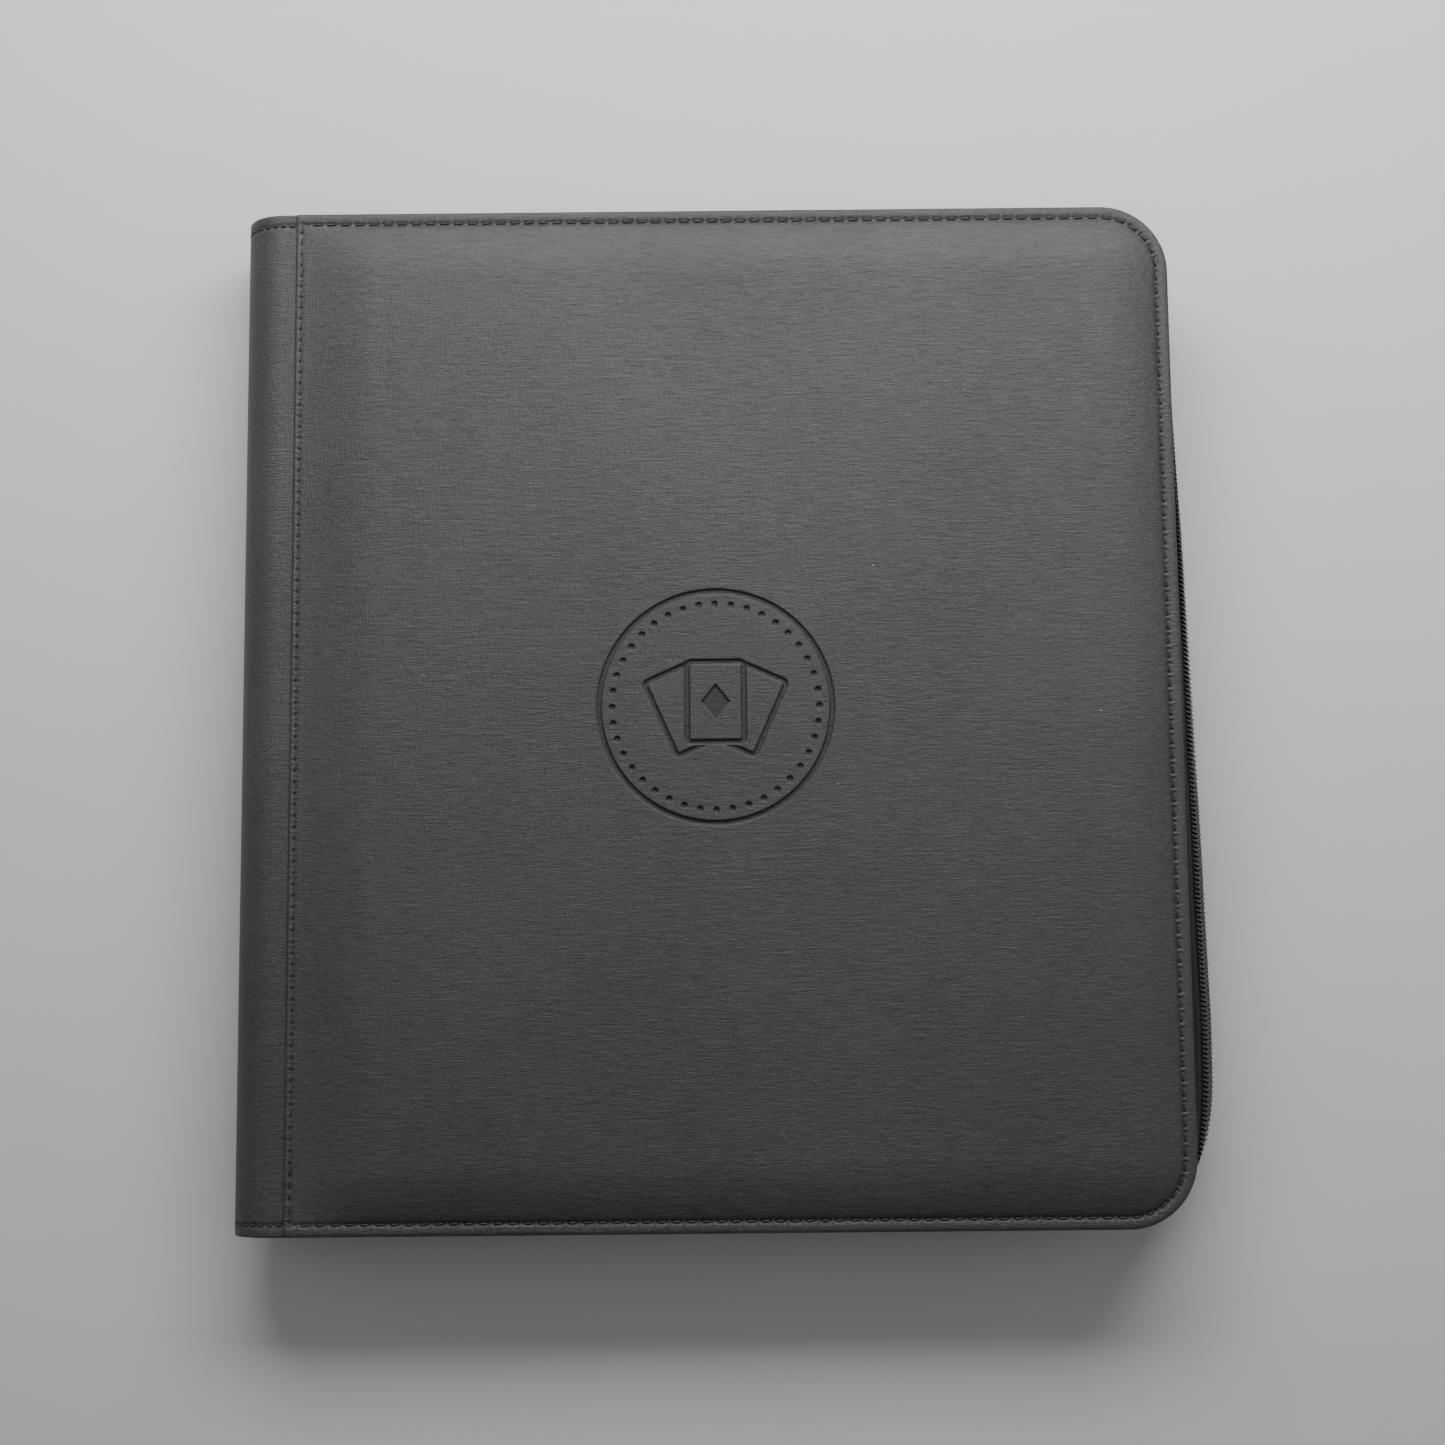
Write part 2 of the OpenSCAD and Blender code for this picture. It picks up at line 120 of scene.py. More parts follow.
class BinderCovers(bpy.types.PropertyGroup):
    corner_radius: FloatProperty(
        name="Corner radius", description="Radius of the two fore-edge corners",
        default=23 * MM, unit="LENGTH", subtype="DISTANCE")
    leather_thickness: FloatProperty(
        name="Leather thickness", description="Thickness of the outer leather",
        default=1 * MM, unit="LENGTH", subtype="DISTANCE")
    spine_flat: FloatProperty(
        name="Spine flat", description="Height of the flat between the spine's two rounds",
        default=1.6 * MM, unit="LENGTH", subtype="DISTANCE")
    border: FloatProperty(
        name="Border", description="Width of the sewn border outside the padding",
        default=4.5 * MM, unit="LENGTH", subtype="DISTANCE")
    seam_shoulder: FloatProperty(
        name="Seam shoulder", description="Width over which the padding rises from the seam",
        default=26 * MM, unit="LENGTH", subtype="DISTANCE")
    crown_width: FloatProperty(
        name="Padding shoulder", description="Width over which the padding rises",
        default=19 * MM, unit="LENGTH", subtype="DISTANCE")
    leather_colour: FloatVectorProperty(
        name="Leather colour", description="Base colour of the leather",
        default=(0.043, 0.043, 0.0435), subtype="COLOR", min=0, max=1)


class BinderEmblem(bpy.types.PropertyGroup):
    radius: FloatProperty(
        name="Radius", description="Outer radius of the pressed ring",
        default=39.8 * MM, unit="LENGTH", subtype="DISTANCE")
    line: FloatProperty(
        name="Line width", description="Width of the pressed lines",
        default=1.7 * MM, unit="LENGTH", subtype="DISTANCE")
    depth: FloatProperty(
        name="Depth", description="Depth of the pressed lines",
        default=0.75 * MM, unit="LENGTH", subtype="DISTANCE")
    shift: FloatProperty(
        name="Shift", description="Distance from the middle of the cover, away from the spine",
        default=2.4 * MM, unit="LENGTH", subtype="DISTANCE")
    dots: IntProperty(
        name="Dots", description="Number of pressed dots inside the ring", default=40, min=0)


class BinderStitching(bpy.types.PropertyGroup):
    inset: FloatProperty(
        name="Inset", description="Distance of the stitches from the cover's edge",
        default=4 * MM, unit="LENGTH", subtype="DISTANCE")
    pitch: FloatProperty(
        name="Edge pitch", description="Length of one stitch and its gap along the edges",
        default=4.85 * MM, unit="LENGTH", subtype="DISTANCE")
    seam_pitch: FloatProperty(
        name="Seam pitch", description="Length of one stitch and its gap along the spine seam",
        default=3.8 * MM, unit="LENGTH", subtype="DISTANCE")
    seam_inset: FloatProperty(
        name="Seam inset", description="Distance of the seam's stitches from the folded edge",
        default=2 * MM, unit="LENGTH", subtype="DISTANCE")
    share: FloatProperty(
        name="Stitch share", description="Share of the pitch that the thread covers",
        default=0.68, min=0.2, max=1)
    thread: FloatProperty(
        name="Thread", description="Diameter of the thread",
        default=0.62 * MM, unit="LENGTH", subtype="DISTANCE")
    thread_colour: FloatVectorProperty(
        name="Thread colour", description="Base colour of the thread",
        default=(0.016, 0.016, 0.0165), subtype="COLOR", min=0, max=1)


class BinderZip(bpy.types.PropertyGroup):
    pitch: FloatProperty(
        name="Coil pitch", description="Distance from one turn of the coil to the next",
        default=1.57 * MM, unit="LENGTH", subtype="DISTANCE")
    wire: FloatProperty(
        name="Filament", description="Diameter of the coil's filament",
        default=0.62 * MM, unit="LENGTH", subtype="DISTANCE")
    tuck: FloatProperty(
        name="Tuck", description="How far inside the edge the shut tape lies at head and foot",
        default=7 * MM, unit="LENGTH", subtype="DISTANCE")
    flat: FloatProperty(
        name="Flat stretch", description="Half the height over which the tape lies flat",
        default=6.5 * MM, unit="LENGTH", subtype="DISTANCE")
    tape: FloatProperty(
        name="Tape", description="Thickness of the tape",
        default=0.7 * MM, unit="LENGTH", subtype="DISTANCE")
    stand: FloatProperty(
        name="Coil height", description="How far the coil stands off the tape",
        default=1.4 * MM, unit="LENGTH", subtype="DISTANCE")
    roll: FloatProperty(
        name="Roll", description="Angle by which the zip rolls up where it bulges most",
        default=math.radians(42), unit="ROTATION", subtype="ANGLE")
    lift: FloatProperty(
        name="Lift", description="How far the zip rides up where it bulges most",
        default=2.0 * MM, unit="LENGTH", subtype="DISTANCE")


class BinderPages(bpy.types.PropertyGroup):
    columns: IntProperty(name="Columns", description="Pockets across a page", default=4, min=1)
    rows: IntProperty(name="Rows", description="Pockets up a page", default=3, min=1)
    weld: FloatProperty(
        name="Weld", description="Width of the welds between pockets",
        default=2.4 * MM, unit="LENGTH", subtype="DISTANCE")
    puff: FloatProperty(
        name="Puff", description="How far an empty pocket stands off its sheet",
        default=0.22 * MM, unit="LENGTH", subtype="DISTANCE")


class BinderStage(bpy.types.PropertyGroup):
    offset: FloatVectorProperty(
        name="Camera offset", description="From the cover's middle to the camera, in its axes",
        default=(4.7 * MM, -5.0 * MM, 0.7554), unit="LENGTH", subtype="TRANSLATION")
    tilt: FloatProperty(
        name="Camera tilt", description="Angle of the view from straight down",
        default=math.radians(6.91), unit="ROTATION", subtype="ANGLE")
    roll: FloatProperty(
        name="Camera roll", description="Turn of the camera about its own axis",
        default=math.radians(0.56), unit="ROTATION", subtype="ANGLE")
    lens: FloatProperty(
        name="Focal length", description="Focal length of the lens on a 36 mm sensor, in mm",
        default=56.2, min=10)
    floor_colour: FloatVectorProperty(
        name="Floor colour", description="Colour of the pale floor",
        default=(0.62, 0.61, 0.59), subtype="COLOR", min=0, max=1)


class BinderSettings(bpy.types.PropertyGroup):
    covers: PointerProperty(type=BinderCovers)
    emblem: PointerProperty(type=BinderEmblem)
    stitching: PointerProperty(type=BinderStitching)
    zip: PointerProperty(type=BinderZip)
    pages: PointerProperty(type=BinderPages)
    stage: PointerProperty(type=BinderStage)


def settings():
    """The binder's named sizes and colours."""
    return bpy.context.scene.card_binder


# ---- Shader effects ----

def wire_up(tree, pairs):
    """Link each pair of sockets."""
    for source, target in pairs:
        tree.links.new(source, target)


def effect_group(name, inputs, outputs):
    """A new shader node group with float sockets; returns it with its two end nodes."""
    group = bpy.data.node_groups.new(name, "ShaderNodeTree")
    for label, default in inputs:
        socket = group.interface.new_socket(
            name=label, in_out="INPUT", socket_type="NodeSocketFloat")
        socket.default_value = default
    for label in outputs:
        group.interface.new_socket(name=label, in_out="OUTPUT", socket_type="NodeSocketFloat")
    return group, group.nodes.new("NodeGroupInput"), group.nodes.new("NodeGroupOutput")


def math_node(tree, operation, *values):
    """A sum on numbers or sockets."""
    node = tree.nodes.new("ShaderNodeMath")
    node.operation = operation
    for socket, value in zip(node.inputs, values):
        if isinstance(value, (int, float)):
            socket.default_value = value
        else:
            tree.links.new(value, socket)
    return node.outputs[0]


def stretched(tree, per_mm):
    """Position on the piece in millimetres, times a share for each axis."""
    place = tree.nodes.new("ShaderNodeTexCoord").outputs["Object"]
    scale = tree.nodes.new("ShaderNodeVectorMath")
    scale.operation = "MULTIPLY"
    scale.inputs[1].default_value = [k / MM for k in per_mm]
    tree.links.new(place, scale.inputs[0])
    return scale.outputs[0]


def noise(tree, per_mm, detail=2.0, roughness=0.55):
    """Soft noise, with this many waves to the millimetre along each axis."""
    node = tree.nodes.new("ShaderNodeTexNoise")
    node.inputs["Scale"].default_value = 1.0
    node.inputs["Detail"].default_value = detail
    node.inputs["Roughness"].default_value = roughness
    tree.links.new(stretched(tree, per_mm), node.inputs["Vector"])
    return node.outputs["Fac"]


def linen_grain_group():
    """Embossed linen grain: long threads across the cover, fainter ones up it, and pores."""
    group, ends, out = effect_group(
        "Linen grain",
        [("Across", 1.0), ("Along", 0.5), ("Pores", 0.3)],
        ["Height", "Tone"],
    )
    long = noise(group, (0.15, 1.25, 1.0), detail=3.0, roughness=0.65)
    short = noise(group, (0.6, 2.0, 1.5), detail=2.0, roughness=0.6)
    across = math_node(group, "ADD", math_node(group, "MULTIPLY", long, 0.55),
                       math_node(group, "MULTIPLY", short, 0.45))
    along = noise(group, (2.0, 0.35, 1.5), detail=2.0)
    pores = noise(group, (3.4, 3.4, 3.4), detail=2.0, roughness=0.6)
    parts = [
        math_node(group, "MULTIPLY", fac, ends.outputs[label])
        for fac, label in ((across, "Across"), (along, "Along"), (pores, "Pores"))
    ]
    height = math_node(group, "ADD", math_node(group, "ADD", parts[0], parts[1]), parts[2])
    tone = math_node(group, "ADD", math_node(group, "MULTIPLY", across, 0.65),
                     math_node(group, "MULTIPLY", pores, 0.35))
    wire_up(group, [(height, out.inputs["Height"]), (tone, out.inputs["Tone"])])
    return group


def thread_weave_group():
    """Plain weave: rounded warp and weft that pass over and under each other."""
    group, ends, out = effect_group(
        "Thread weave", [("Threads per mm", 2.0), ("Slub", 0.25)], ["Height", "Tone"])
    place = group.nodes.new("ShaderNodeSeparateXYZ")
    wire_up(group, [(stretched(group, (1, 1, 1)), place.inputs[0])])
    turns = math_node(group, "MULTIPLY", ends.outputs["Threads per mm"], math.pi)
    run = math_node(group, "ADD", place.outputs["X"], place.outputs["Z"])
    warp = math_node(group, "SINE", math_node(group, "MULTIPLY", run, turns))
    weft = math_node(group, "SINE", math_node(group, "MULTIPLY", place.outputs["Y"], turns))
    over = math_node(group, "MULTIPLY", warp, weft)
    slub = math_node(group, "MULTIPLY", noise(group, (0.6, 0.6, 0.6), 3.0),
                     ends.outputs["Slub"])
    height = math_node(group, "ADD", math_node(group, "MULTIPLY", over, 0.5), slub)
    tone = math_node(group, "MULTIPLY_ADD", height, 0.5, 0.5)
    wire_up(group, [(height, out.inputs["Height"]), (tone, out.inputs["Tone"])])
    return group


def handling_group():
    """Handling marks: broad soft patches, and a few specks of dust."""
    group, ends, out = effect_group(
        "Handling marks", [("Patches", 1.0), ("Dust", 1.0)], ["Patches", "Dust"])
    broad = math_node(group, "SUBTRACT", noise(group, (0.018, 0.018, 0.018), 4.0, 0.6), 0.5)
    patches = math_node(group, "MULTIPLY", broad, ends.outputs["Patches"])
    cells = group.nodes.new("ShaderNodeTexVoronoi")
    cells.inputs["Scale"].default_value = 1.0
    wire_up(group, [(stretched(group, (0.055, 0.055, 0.055)), cells.inputs["Vector"])])
    near = math_node(group, "LESS_THAN", cells.outputs["Distance"], 0.0125)
    dust = math_node(group, "MULTIPLY", near, ends.outputs["Dust"])
    wire_up(group, [(patches, out.inputs["Patches"]), (dust, out.inputs["Dust"])])
    return group


EFFECTS = {
    "Linen grain": linen_grain_group,
    "Thread weave": thread_weave_group,
    "Handling marks": handling_group,
}


def effect(tree, name, **values):
    """Place a shared effect in a material, with this material's own values."""
    node = tree.nodes.new("ShaderNodeGroup")
    node.node_tree = bpy.data.node_groups.get(name) or EFFECTS[name]()
    for label, value in values.items():
        node.inputs[label.replace("_", " ")].default_value = value
    return node.outputs


# ---- Materials ----

def colour_between(tree, factor, start, end):
    """A colour that runs with the factor from start to end, each a colour or a socket."""
    mix = tree.nodes.new("ShaderNodeMix")
    mix.data_type = "RGBA"
    for socket, colour in ((mix.inputs[6], start), (mix.inputs[7], end)):
        if isinstance(colour, bpy.types.NodeSocket):
            tree.links.new(colour, socket)
        else:
            socket.default_value = (*colour, 1)
    tree.links.new(factor, mix.inputs[0])
    return mix.outputs[2]


def ranged(tree, value, low, high, new_low, new_high):
    """The value moved from one range into another."""
    node = tree.nodes.new("ShaderNodeMapRange")
    for name, number in (("From Min", low), ("From Max", high),
                         ("To Min", new_low), ("To Max", new_high)):
        node.inputs[name].default_value = number
    tree.links.new(value, node.inputs["Value"])
    return node.outputs["Result"]


def bump(tree, height, distance, strength=1.0):
    """A normal raised by a height, which is worth distance metres where it is 1."""
    node = tree.nodes.new("ShaderNodeBump")
    node.inputs["Distance"].default_value = distance
    node.inputs["Strength"].default_value = strength
    tree.links.new(height, node.inputs["Height"])
    return node.outputs["Normal"]


def base_material(name, specular=0.5, **constants):
    """A material whose constant numbers stand on the shader's own sockets, with its node tree
    and shader; both are None if it has been made before."""
    found = bpy.data.materials.get(name)
    if found:
        return found, None, None
    material = bpy.data.materials.new(name)
    material.use_nodes = True
    tree = material.node_tree
    shader = tree.nodes["Principled BSDF"]
    shader.inputs["Specular IOR Level"].default_value = specular
    for socket, value in constants.items():
        shader.inputs[socket.replace("_", " ")].default_value = value
    return material, tree, shader


def leather_material():
    """Charcoal leather with a linen grain, darkened where it is pressed by burnishing and by
    painted shade in the pressed lines.
    """
    material, tree, shader = base_material("charcoal_leather", specular=0.45)
    if tree is None:
        return material
    colour = Vector(settings().covers.leather_colour)
    grain = effect(tree, "Linen grain", Across=1.0, Along=0.6, Pores=0.4)
    marks = effect(tree, "Handling marks", Patches=0.14, Dust=1.0)
    tone = math_node(tree, "ADD", grain["Tone"], marks["Patches"])
    skin = colour_between(tree, ranged(tree, tone, 0.36, 0.64, 0, 1), colour * 0.55, colour * 1.45)
    pressed = tree.nodes.new("ShaderNodeAttribute")
    pressed.attribute_name = "pressed"
    # the pressed lines are darker: partly the leather's burnishing, partly painted shade of their
    # hollows
    burnishing_and_shade = math_node(tree, "MULTIPLY", pressed.outputs["Fac"], 0.85)
    skin_with_burnishing_and_shade = colour_between(tree, burnishing_and_shade, skin, colour * 0.34)
    wire_up(tree, [
        (colour_between(tree, marks["Dust"], skin_with_burnishing_and_shade, (0.35, 0.34, 0.33)),
         shader.inputs["Base Color"]),
        (ranged(tree, tone, 0.3, 0.7, 0.58, 0.42), shader.inputs["Roughness"]),
        (bump(tree, grain["Height"], 0.34 * MM, 0.9), shader.inputs["Normal"]),
    ])
    return material


def cloth_material(name, colour, threads, relief, sheen=0.25):
    """Woven cloth, with this many threads to the millimetre."""
    material, tree, shader = base_material(
        name, specular=0.25, Sheen_Weight=sheen, Sheen_Roughness=0.5)
    if tree is None:
        return material
    colour = Vector(colour)
    weave = effect(tree, "Thread weave", Threads_per_mm=threads, Slub=0.3)
    marks = effect(tree, "Handling marks", Patches=0.3, Dust=0.0)
    tone = math_node(tree, "ADD", weave["Tone"], marks["Patches"])
    wire_up(tree, [
        (colour_between(tree, tone, colour * 0.55, colour * 1.45), shader.inputs["Base Color"]),
        (ranged(tree, tone, 0, 1, 0.9, 0.75), shader.inputs["Roughness"]),
        (bump(tree, weave["Height"], relief, 0.8), shader.inputs["Normal"]),
    ])
    return material


def lining_material():
    return cloth_material("black_lining_cloth", (0.020, 0.020, 0.022), 2.2, 0.08 * MM)


def tape_material():
    return cloth_material("black_zip_tape", (0.006, 0.006, 0.0065), 1.6, 0.14 * MM, sheen=0.05)


def binding_material():
    return cloth_material("black_binding_cloth", (0.016, 0.016, 0.017), 1.3, 0.2 * MM)


def thread_material():
    """Waxed sewing thread, with the twist of its plies."""
    material, tree, shader = base_material(
        "waxed_thread", specular=0.5, Sheen_Weight=0.2, Sheen_Roughness=0.4)
    if tree is None:
        return material
    colour = Vector(settings().stitching.thread_colour)
    ply = noise(tree, (5.0, 5.0, 5.0), 2.0)
    wire_up(tree, [
        (colour_between(tree, ply, colour * 0.6, colour * 1.6), shader.inputs["Base Color"]),
        (ranged(tree, ply, 0.3, 0.7, 0.5, 0.32), shader.inputs["Roughness"]),
        (bump(tree, ply, 0.1 * MM), shader.inputs["Normal"]),
    ])
    return material


def grained_plastic(name, dark, light, rough, relief, per_mm, specular=0.5):
    """Moulded or rolled plastic with a fine grain."""
    material, tree, shader = base_material(name, specular=specular)
    if tree is None:
        return material
    grain = noise(tree, (per_mm, per_mm, per_mm), 3.0, 0.6)
    wire_up(tree, [
        (colour_between(tree, grain, dark, light), shader.inputs["Base Color"]),
        (ranged(tree, grain, 0.3, 0.7, rough + 0.06, rough - 0.06), shader.inputs["Roughness"]),
        (bump(tree, grain, relief), shader.inputs["Normal"]),
    ])
    return material


def coil_material():
    return grained_plastic(
        "black_nylon_coil", (0.05, 0.05, 0.052), (0.075, 0.075, 0.077), 0.30, 0.01 * MM, 3.0)


def page_material():
    return grained_plastic(
        "black_page_sheet", (0.009, 0.009, 0.010), (0.018, 0.018, 0.019), 0.55, 0.05 * MM, 1.6)


def film_material():
    """Clear pocket film: almost nothing but its shine, a faint haze and slow ripples."""
    material, tree, shader = base_material(
        "clear_pocket_film", specular=0.6, Coat_Weight=0.3, Coat_Roughness=0.08)
    if tree is None:
        return material
    ripple = noise(tree, (0.035, 0.05, 0.05), 3.0, 0.5)
    haze = noise(tree, (0.8, 0.8, 0.8), 3.0, 0.6)
    wire_up(tree, [
        (colour_between(tree, haze, (0.55, 0.57, 0.6), (0.7, 0.72, 0.75)),
         shader.inputs["Base Color"]),
        (ranged(tree, haze, 0.3, 0.7, 0.1, 0.2), shader.inputs["Roughness"]),
        (ranged(tree, haze, 0.3, 0.7, 0.05, 0.09), shader.inputs["Alpha"]),
        (bump(tree, ripple, 0.8 * MM, 0.7), shader.inputs["Normal"]),
    ])
    return material


def metal_material():
    """Dark enamel on zinc, worn a little paler in patches."""
    material, tree, shader = base_material("black_enamelled_zinc", specular=0.5)
    if tree is None:
        return material
    marks = effect(tree, "Handling marks", Patches=1.0, Dust=0.0)
    grain = noise(tree, (4.0, 4.0, 4.0), 3.0)
    wire_up(tree, [
        (colour_between(tree, grain, (0.02, 0.02, 0.021), (0.05, 0.05, 0.052)),
         shader.inputs["Base Color"]),
        (ranged(tree, marks["Patches"], -0.3, 0.3, 0.5, 0.8), shader.inputs["Metallic"]),
        (ranged(tree, grain, 0.3, 0.7, 0.28, 0.4), shader.inputs["Roughness"]),
        (bump(tree, grain, 0.02 * MM), shader.inputs["Normal"]),
    ])
    return material


def foam_material():
    return grained_plastic(
        "dark_foam", (0.03, 0.03, 0.03), (0.08, 0.08, 0.08), 0.85, 0.3 * MM, 1.2, specular=0.2)


def board_material():
    return grained_plastic(
        "grey_board", (0.16, 0.13, 0.1), (0.26, 0.22, 0.17), 0.8, 0.1 * MM, 0.9, specular=0.2)


# ---- Mesh helpers ----

class Patchwork:
    """Grids of points that share their borders, gathered into one welded mesh."""

    def __init__(self):
        self.points = []
        self.faces = []
        self.count = 0

    def grid(self, x, y, z, flip=False):
        """A grid of points, wound so that most of it faces up, or down if flipped."""
        rows, columns = np.shape(x)
        points = np.stack([x, y, np.broadcast_to(z, np.shape(x))], -1).reshape(-1, 3)
        i, j = np.meshgrid(np.arange(rows - 1), np.arange(columns - 1), indexing="ij")
        first = i * columns + j
        quads = np.stack([first, first + columns, first + columns + 1, first + 1], -1)
        quads = quads.reshape(-1, 4)
        corner = points[quads]
        across, along = corner[:, 2] - corner[:, 0], corner[:, 3] - corner[:, 1]
        up = (across[:, 0] * along[:, 1] - across[:, 1] * along[:, 0]).sum() > 0
        if up == flip:
            quads = quads[:, ::-1]
        self.points.append(points)
        self.faces.append(quads + self.count)
        self.count += rows * columns

    def tube_grid(self, rings):
        """A closed tube through rings of points; each ring closes on itself."""
        n, m = rings.shape[:2]
        self.points.append(rings.reshape(-1, 3))
        i, j = np.meshgrid(np.arange(n - 1), np.arange(m), indexing="ij")
        here = self.count + i * m
        quads = np.stack([here + j, here + (j + 1) % m, here + m + (j + 1) % m, here + m + j], -1)
        self.faces.append(quads.reshape(-1, 4))
        ring = self.count + np.arange(m)
        self.faces.append([list(ring[::-1]), list(ring + (n - 1) * m)])
        self.count += n * m

    def mesh(self, name, weld=2e-6):
        """All of it as one mesh, with points closer than weld joined."""
        mesh = bpy.data.meshes.new(name)
        faces = [list(map(int, face)) for block in self.faces for face in block]
        mesh.from_pydata(np.concatenate(self.points).tolist(), [], faces)
        if weld:
            edit = bmesh.new()
            edit.from_mesh(mesh)
            bmesh.ops.remove_doubles(edit, verts=edit.verts, dist=weld)
            edit.to_mesh(mesh)
            edit.free()
        return mesh


def outward(mesh):
    """Turn every face of a closed mesh to face out."""
    edit = bmesh.new()
    edit.from_mesh(mesh)
    bmesh.ops.recalc_face_normals(edit, faces=edit.faces)
    edit.to_mesh(mesh)
    edit.free()


def piece(name, mesh, material, smooth=True):
    """Make an object of a mesh in the row frame, with its finish."""
    if name in bpy.data.objects:
        raise RuntimeError(f"{name} has already been made")
    mesh.name = name
    mesh.materials.append(material)
    mesh.polygons.foreach_set("use_smooth", np.full(len(mesh.polygons), smooth))
    obj = bpy.data.objects.new(name, mesh)
    bpy.context.scene.collection.objects.link(obj)
    return obj


def steps(low, high, size):
    """Evenly spaced values from low to high, about size apart."""
    return np.linspace(low, high, max(2, round((high - low) / size) + 1))


def joined(*runs):
    """Runs of rising values, end to end, with no value twice."""
    return np.unique(np.round(np.concatenate(runs), 7))


def smoothstep(t):
    """A soft step from 0 to 1 as t goes from 0 to 1."""
    t = np.clip(t, 0, 1)
    return t * t * (3 - 2 * t)


# ---- The cover's edge as a path ----

class EdgePath:
    """The way round a cover from the head, by the fore edge, to the foot."""

    def __init__(self, start_x, radius):
        self.start = start_x
        self.radius = radius
        self.corner_x = FORE_X - radius
        self.corner_y = HALF_H - radius
        self.run = self.corner_x - start_x

    def length(self, inset):
        """Length of the path at an inset from the edge."""
        arc = (self.radius - inset) * math.pi / 2
        return 2 * self.run + 2 * arc + 2 * self.corner_y

    def at(self, s, inset=0.0):
        """Point and outward normal at a distance s along the path at that inset."""
        r = self.radius - inset
        arc = r * math.pi / 2
        fore = 2 * self.corner_y
        bounds = np.cumsum([0, self.run, arc, fore, arc])
        leg = np.searchsorted(bounds, s, side="right") - 1
        leg = np.clip(leg, 0, 4)
        d = s - bounds[leg]
        angle = np.select(
            [leg == 0, leg == 1, leg == 2, leg == 3],
            [math.pi / 2, math.pi / 2 - d / r, 0.0, -d / r], -math.pi / 2)
        nx, ny = np.cos(angle), np.sin(angle)
        base_x = np.select([leg == 0, leg == 4], [self.start + d, self.corner_x - d],
                           self.corner_x)
        base_y = np.select([leg <= 1, leg == 2], [self.corner_y, self.corner_y - d],
                           -self.corner_y)
        return base_x + r * nx, base_y + r * ny, nx, ny

    def place(self, x, y, inset):
        """Inset of each point from the edge, and its distance along the path."""
        r = self.radius - inset
        arc = r * math.pi / 2
        dx, dy = x - self.corner_x, np.abs(y) - self.corner_y
        corner = (dx > 0) & (dy > 0)
        edge = np.where(corner, self.radius - np.hypot(dx, dy),
                        self.radius - np.maximum(dx, dy))
        turn = np.arctan2(np.maximum(dy, 0), np.maximum(dx, 1e-9))
        along = np.where(
            corner, self.run + r * (math.pi / 2 - turn),
            np.where(dy > dx, x - self.start, self.run + arc + self.corner_y - np.abs(y)))
        total = self.length(inset)
        return edge, np.where(y >= 0, along, total - along)


def edge_path():
    """The edge of the cover's leather, from the spine seam."""
    return EdgePath(PANEL_X, settings().covers.corner_radius)


# ---- Covers ----

def card_distance(x, y, half_w, half_h, radius):
    """Signed distance from a rounded rectangle."""
    qx, qy = np.abs(x) - half_w + radius, np.abs(y) - half_h + radius
    outside = np.hypot(np.maximum(qx, 0), np.maximum(qy, 0))
    return outside + np.minimum(np.maximum(qx, qy), 0) - radius


def emblem_relief(x, y):
    """How deep each point of the cover is pressed: a ring of dots round a fan of cards, with
    every size inside the ring a share of its radius."""
    emblem = settings().emblem
    radius, half = emblem.radius, emblem.line / 2
    centre_x = (SPINE_X + FORE_X) / 2 + emblem.shift
    x = x - centre_x
    reach = np.hypot(x, y)
    line = np.abs(reach - radius + half) - half
    if emblem.dots:
        sector = FULL_TURN / emblem.dots
        turn = (np.arctan2(y, x) + sector / 2) % sector - sector / 2
        dot = np.hypot(reach * np.cos(turn) - radius * 0.87, reach * np.sin(turn)) - half * 1.15
        line = np.minimum(line, dot)
    half_w, half_h, corner = radius * 0.26, radius * 0.36, radius * 0.06
    pivot = -radius * 0.56
    front = card_distance(x, y - 0.04 * radius, half_w, half_h, corner)
    fan = math.radians(24)
    for side in (-1, 1):
        c, s = math.cos(side * fan), math.sin(side * fan)
        u = c * x - s * (y - pivot)
        v = s * x + c * (y - pivot) + pivot
        card = card_distance(u, v - 0.04 * radius, half_w, half_h, corner)
        edge = np.maximum(np.abs(card + half) - half, -(front - 0.25 * half))
        edge = np.maximum(edge, -side * x)
        line = np.minimum(line, edge)
    line = np.minimum(line, np.abs(front + half) - half)
    pip = (np.abs(x) * 1.25 + np.abs(y - 0.04 * radius)) - radius * 0.15
    line = np.minimum(line, pip * 0.65)
    soft = 0.16 * MM
    return emblem.depth * (1 - smoothstep((line + soft) / (2 * soft)))


def rounded_edge(d, reach, drop):
    """How far the leather has rolled down at a distance d from its folded edge."""
    t = np.clip(1 - d / reach, 0, 1)
    return drop * (1 - np.sqrt(np.maximum(1 - t * t, 0)))


def shoulder(d, start, width):
    """How full the padding is at a distance d from the edge: steep at first, then flat."""
    u = np.clip((d - start) / width, 0, 1)
    return (2 * u - u * u) ** 0.85


def border_height():
    """Height of the sewn border's leather."""
    return LAP_H + settings().covers.leather_thickness


def sewn_dip(across, run, pitch, share):
    """How far a row of stitches draws the leather down: a trough under each thread, a hole
    at each of its ends, and the leather left standing between one stitch and the next."""
    from_middle = np.abs((run / pitch) % 1 - 0.5) * pitch
    half = share * pitch / 2
    trough = smoothstep((half + 0.45 * MM - from_middle) / (0.5 * MM))
    trough = 0.34 * MM * trough * np.exp(-((across / (0.85 * MM)) ** 2))
    hole = np.exp(-(((from_middle - half) / (0.5 * MM)) ** 2 + (across / (0.6 * MM)) ** 2))
    return trough + 0.30 * MM * hole


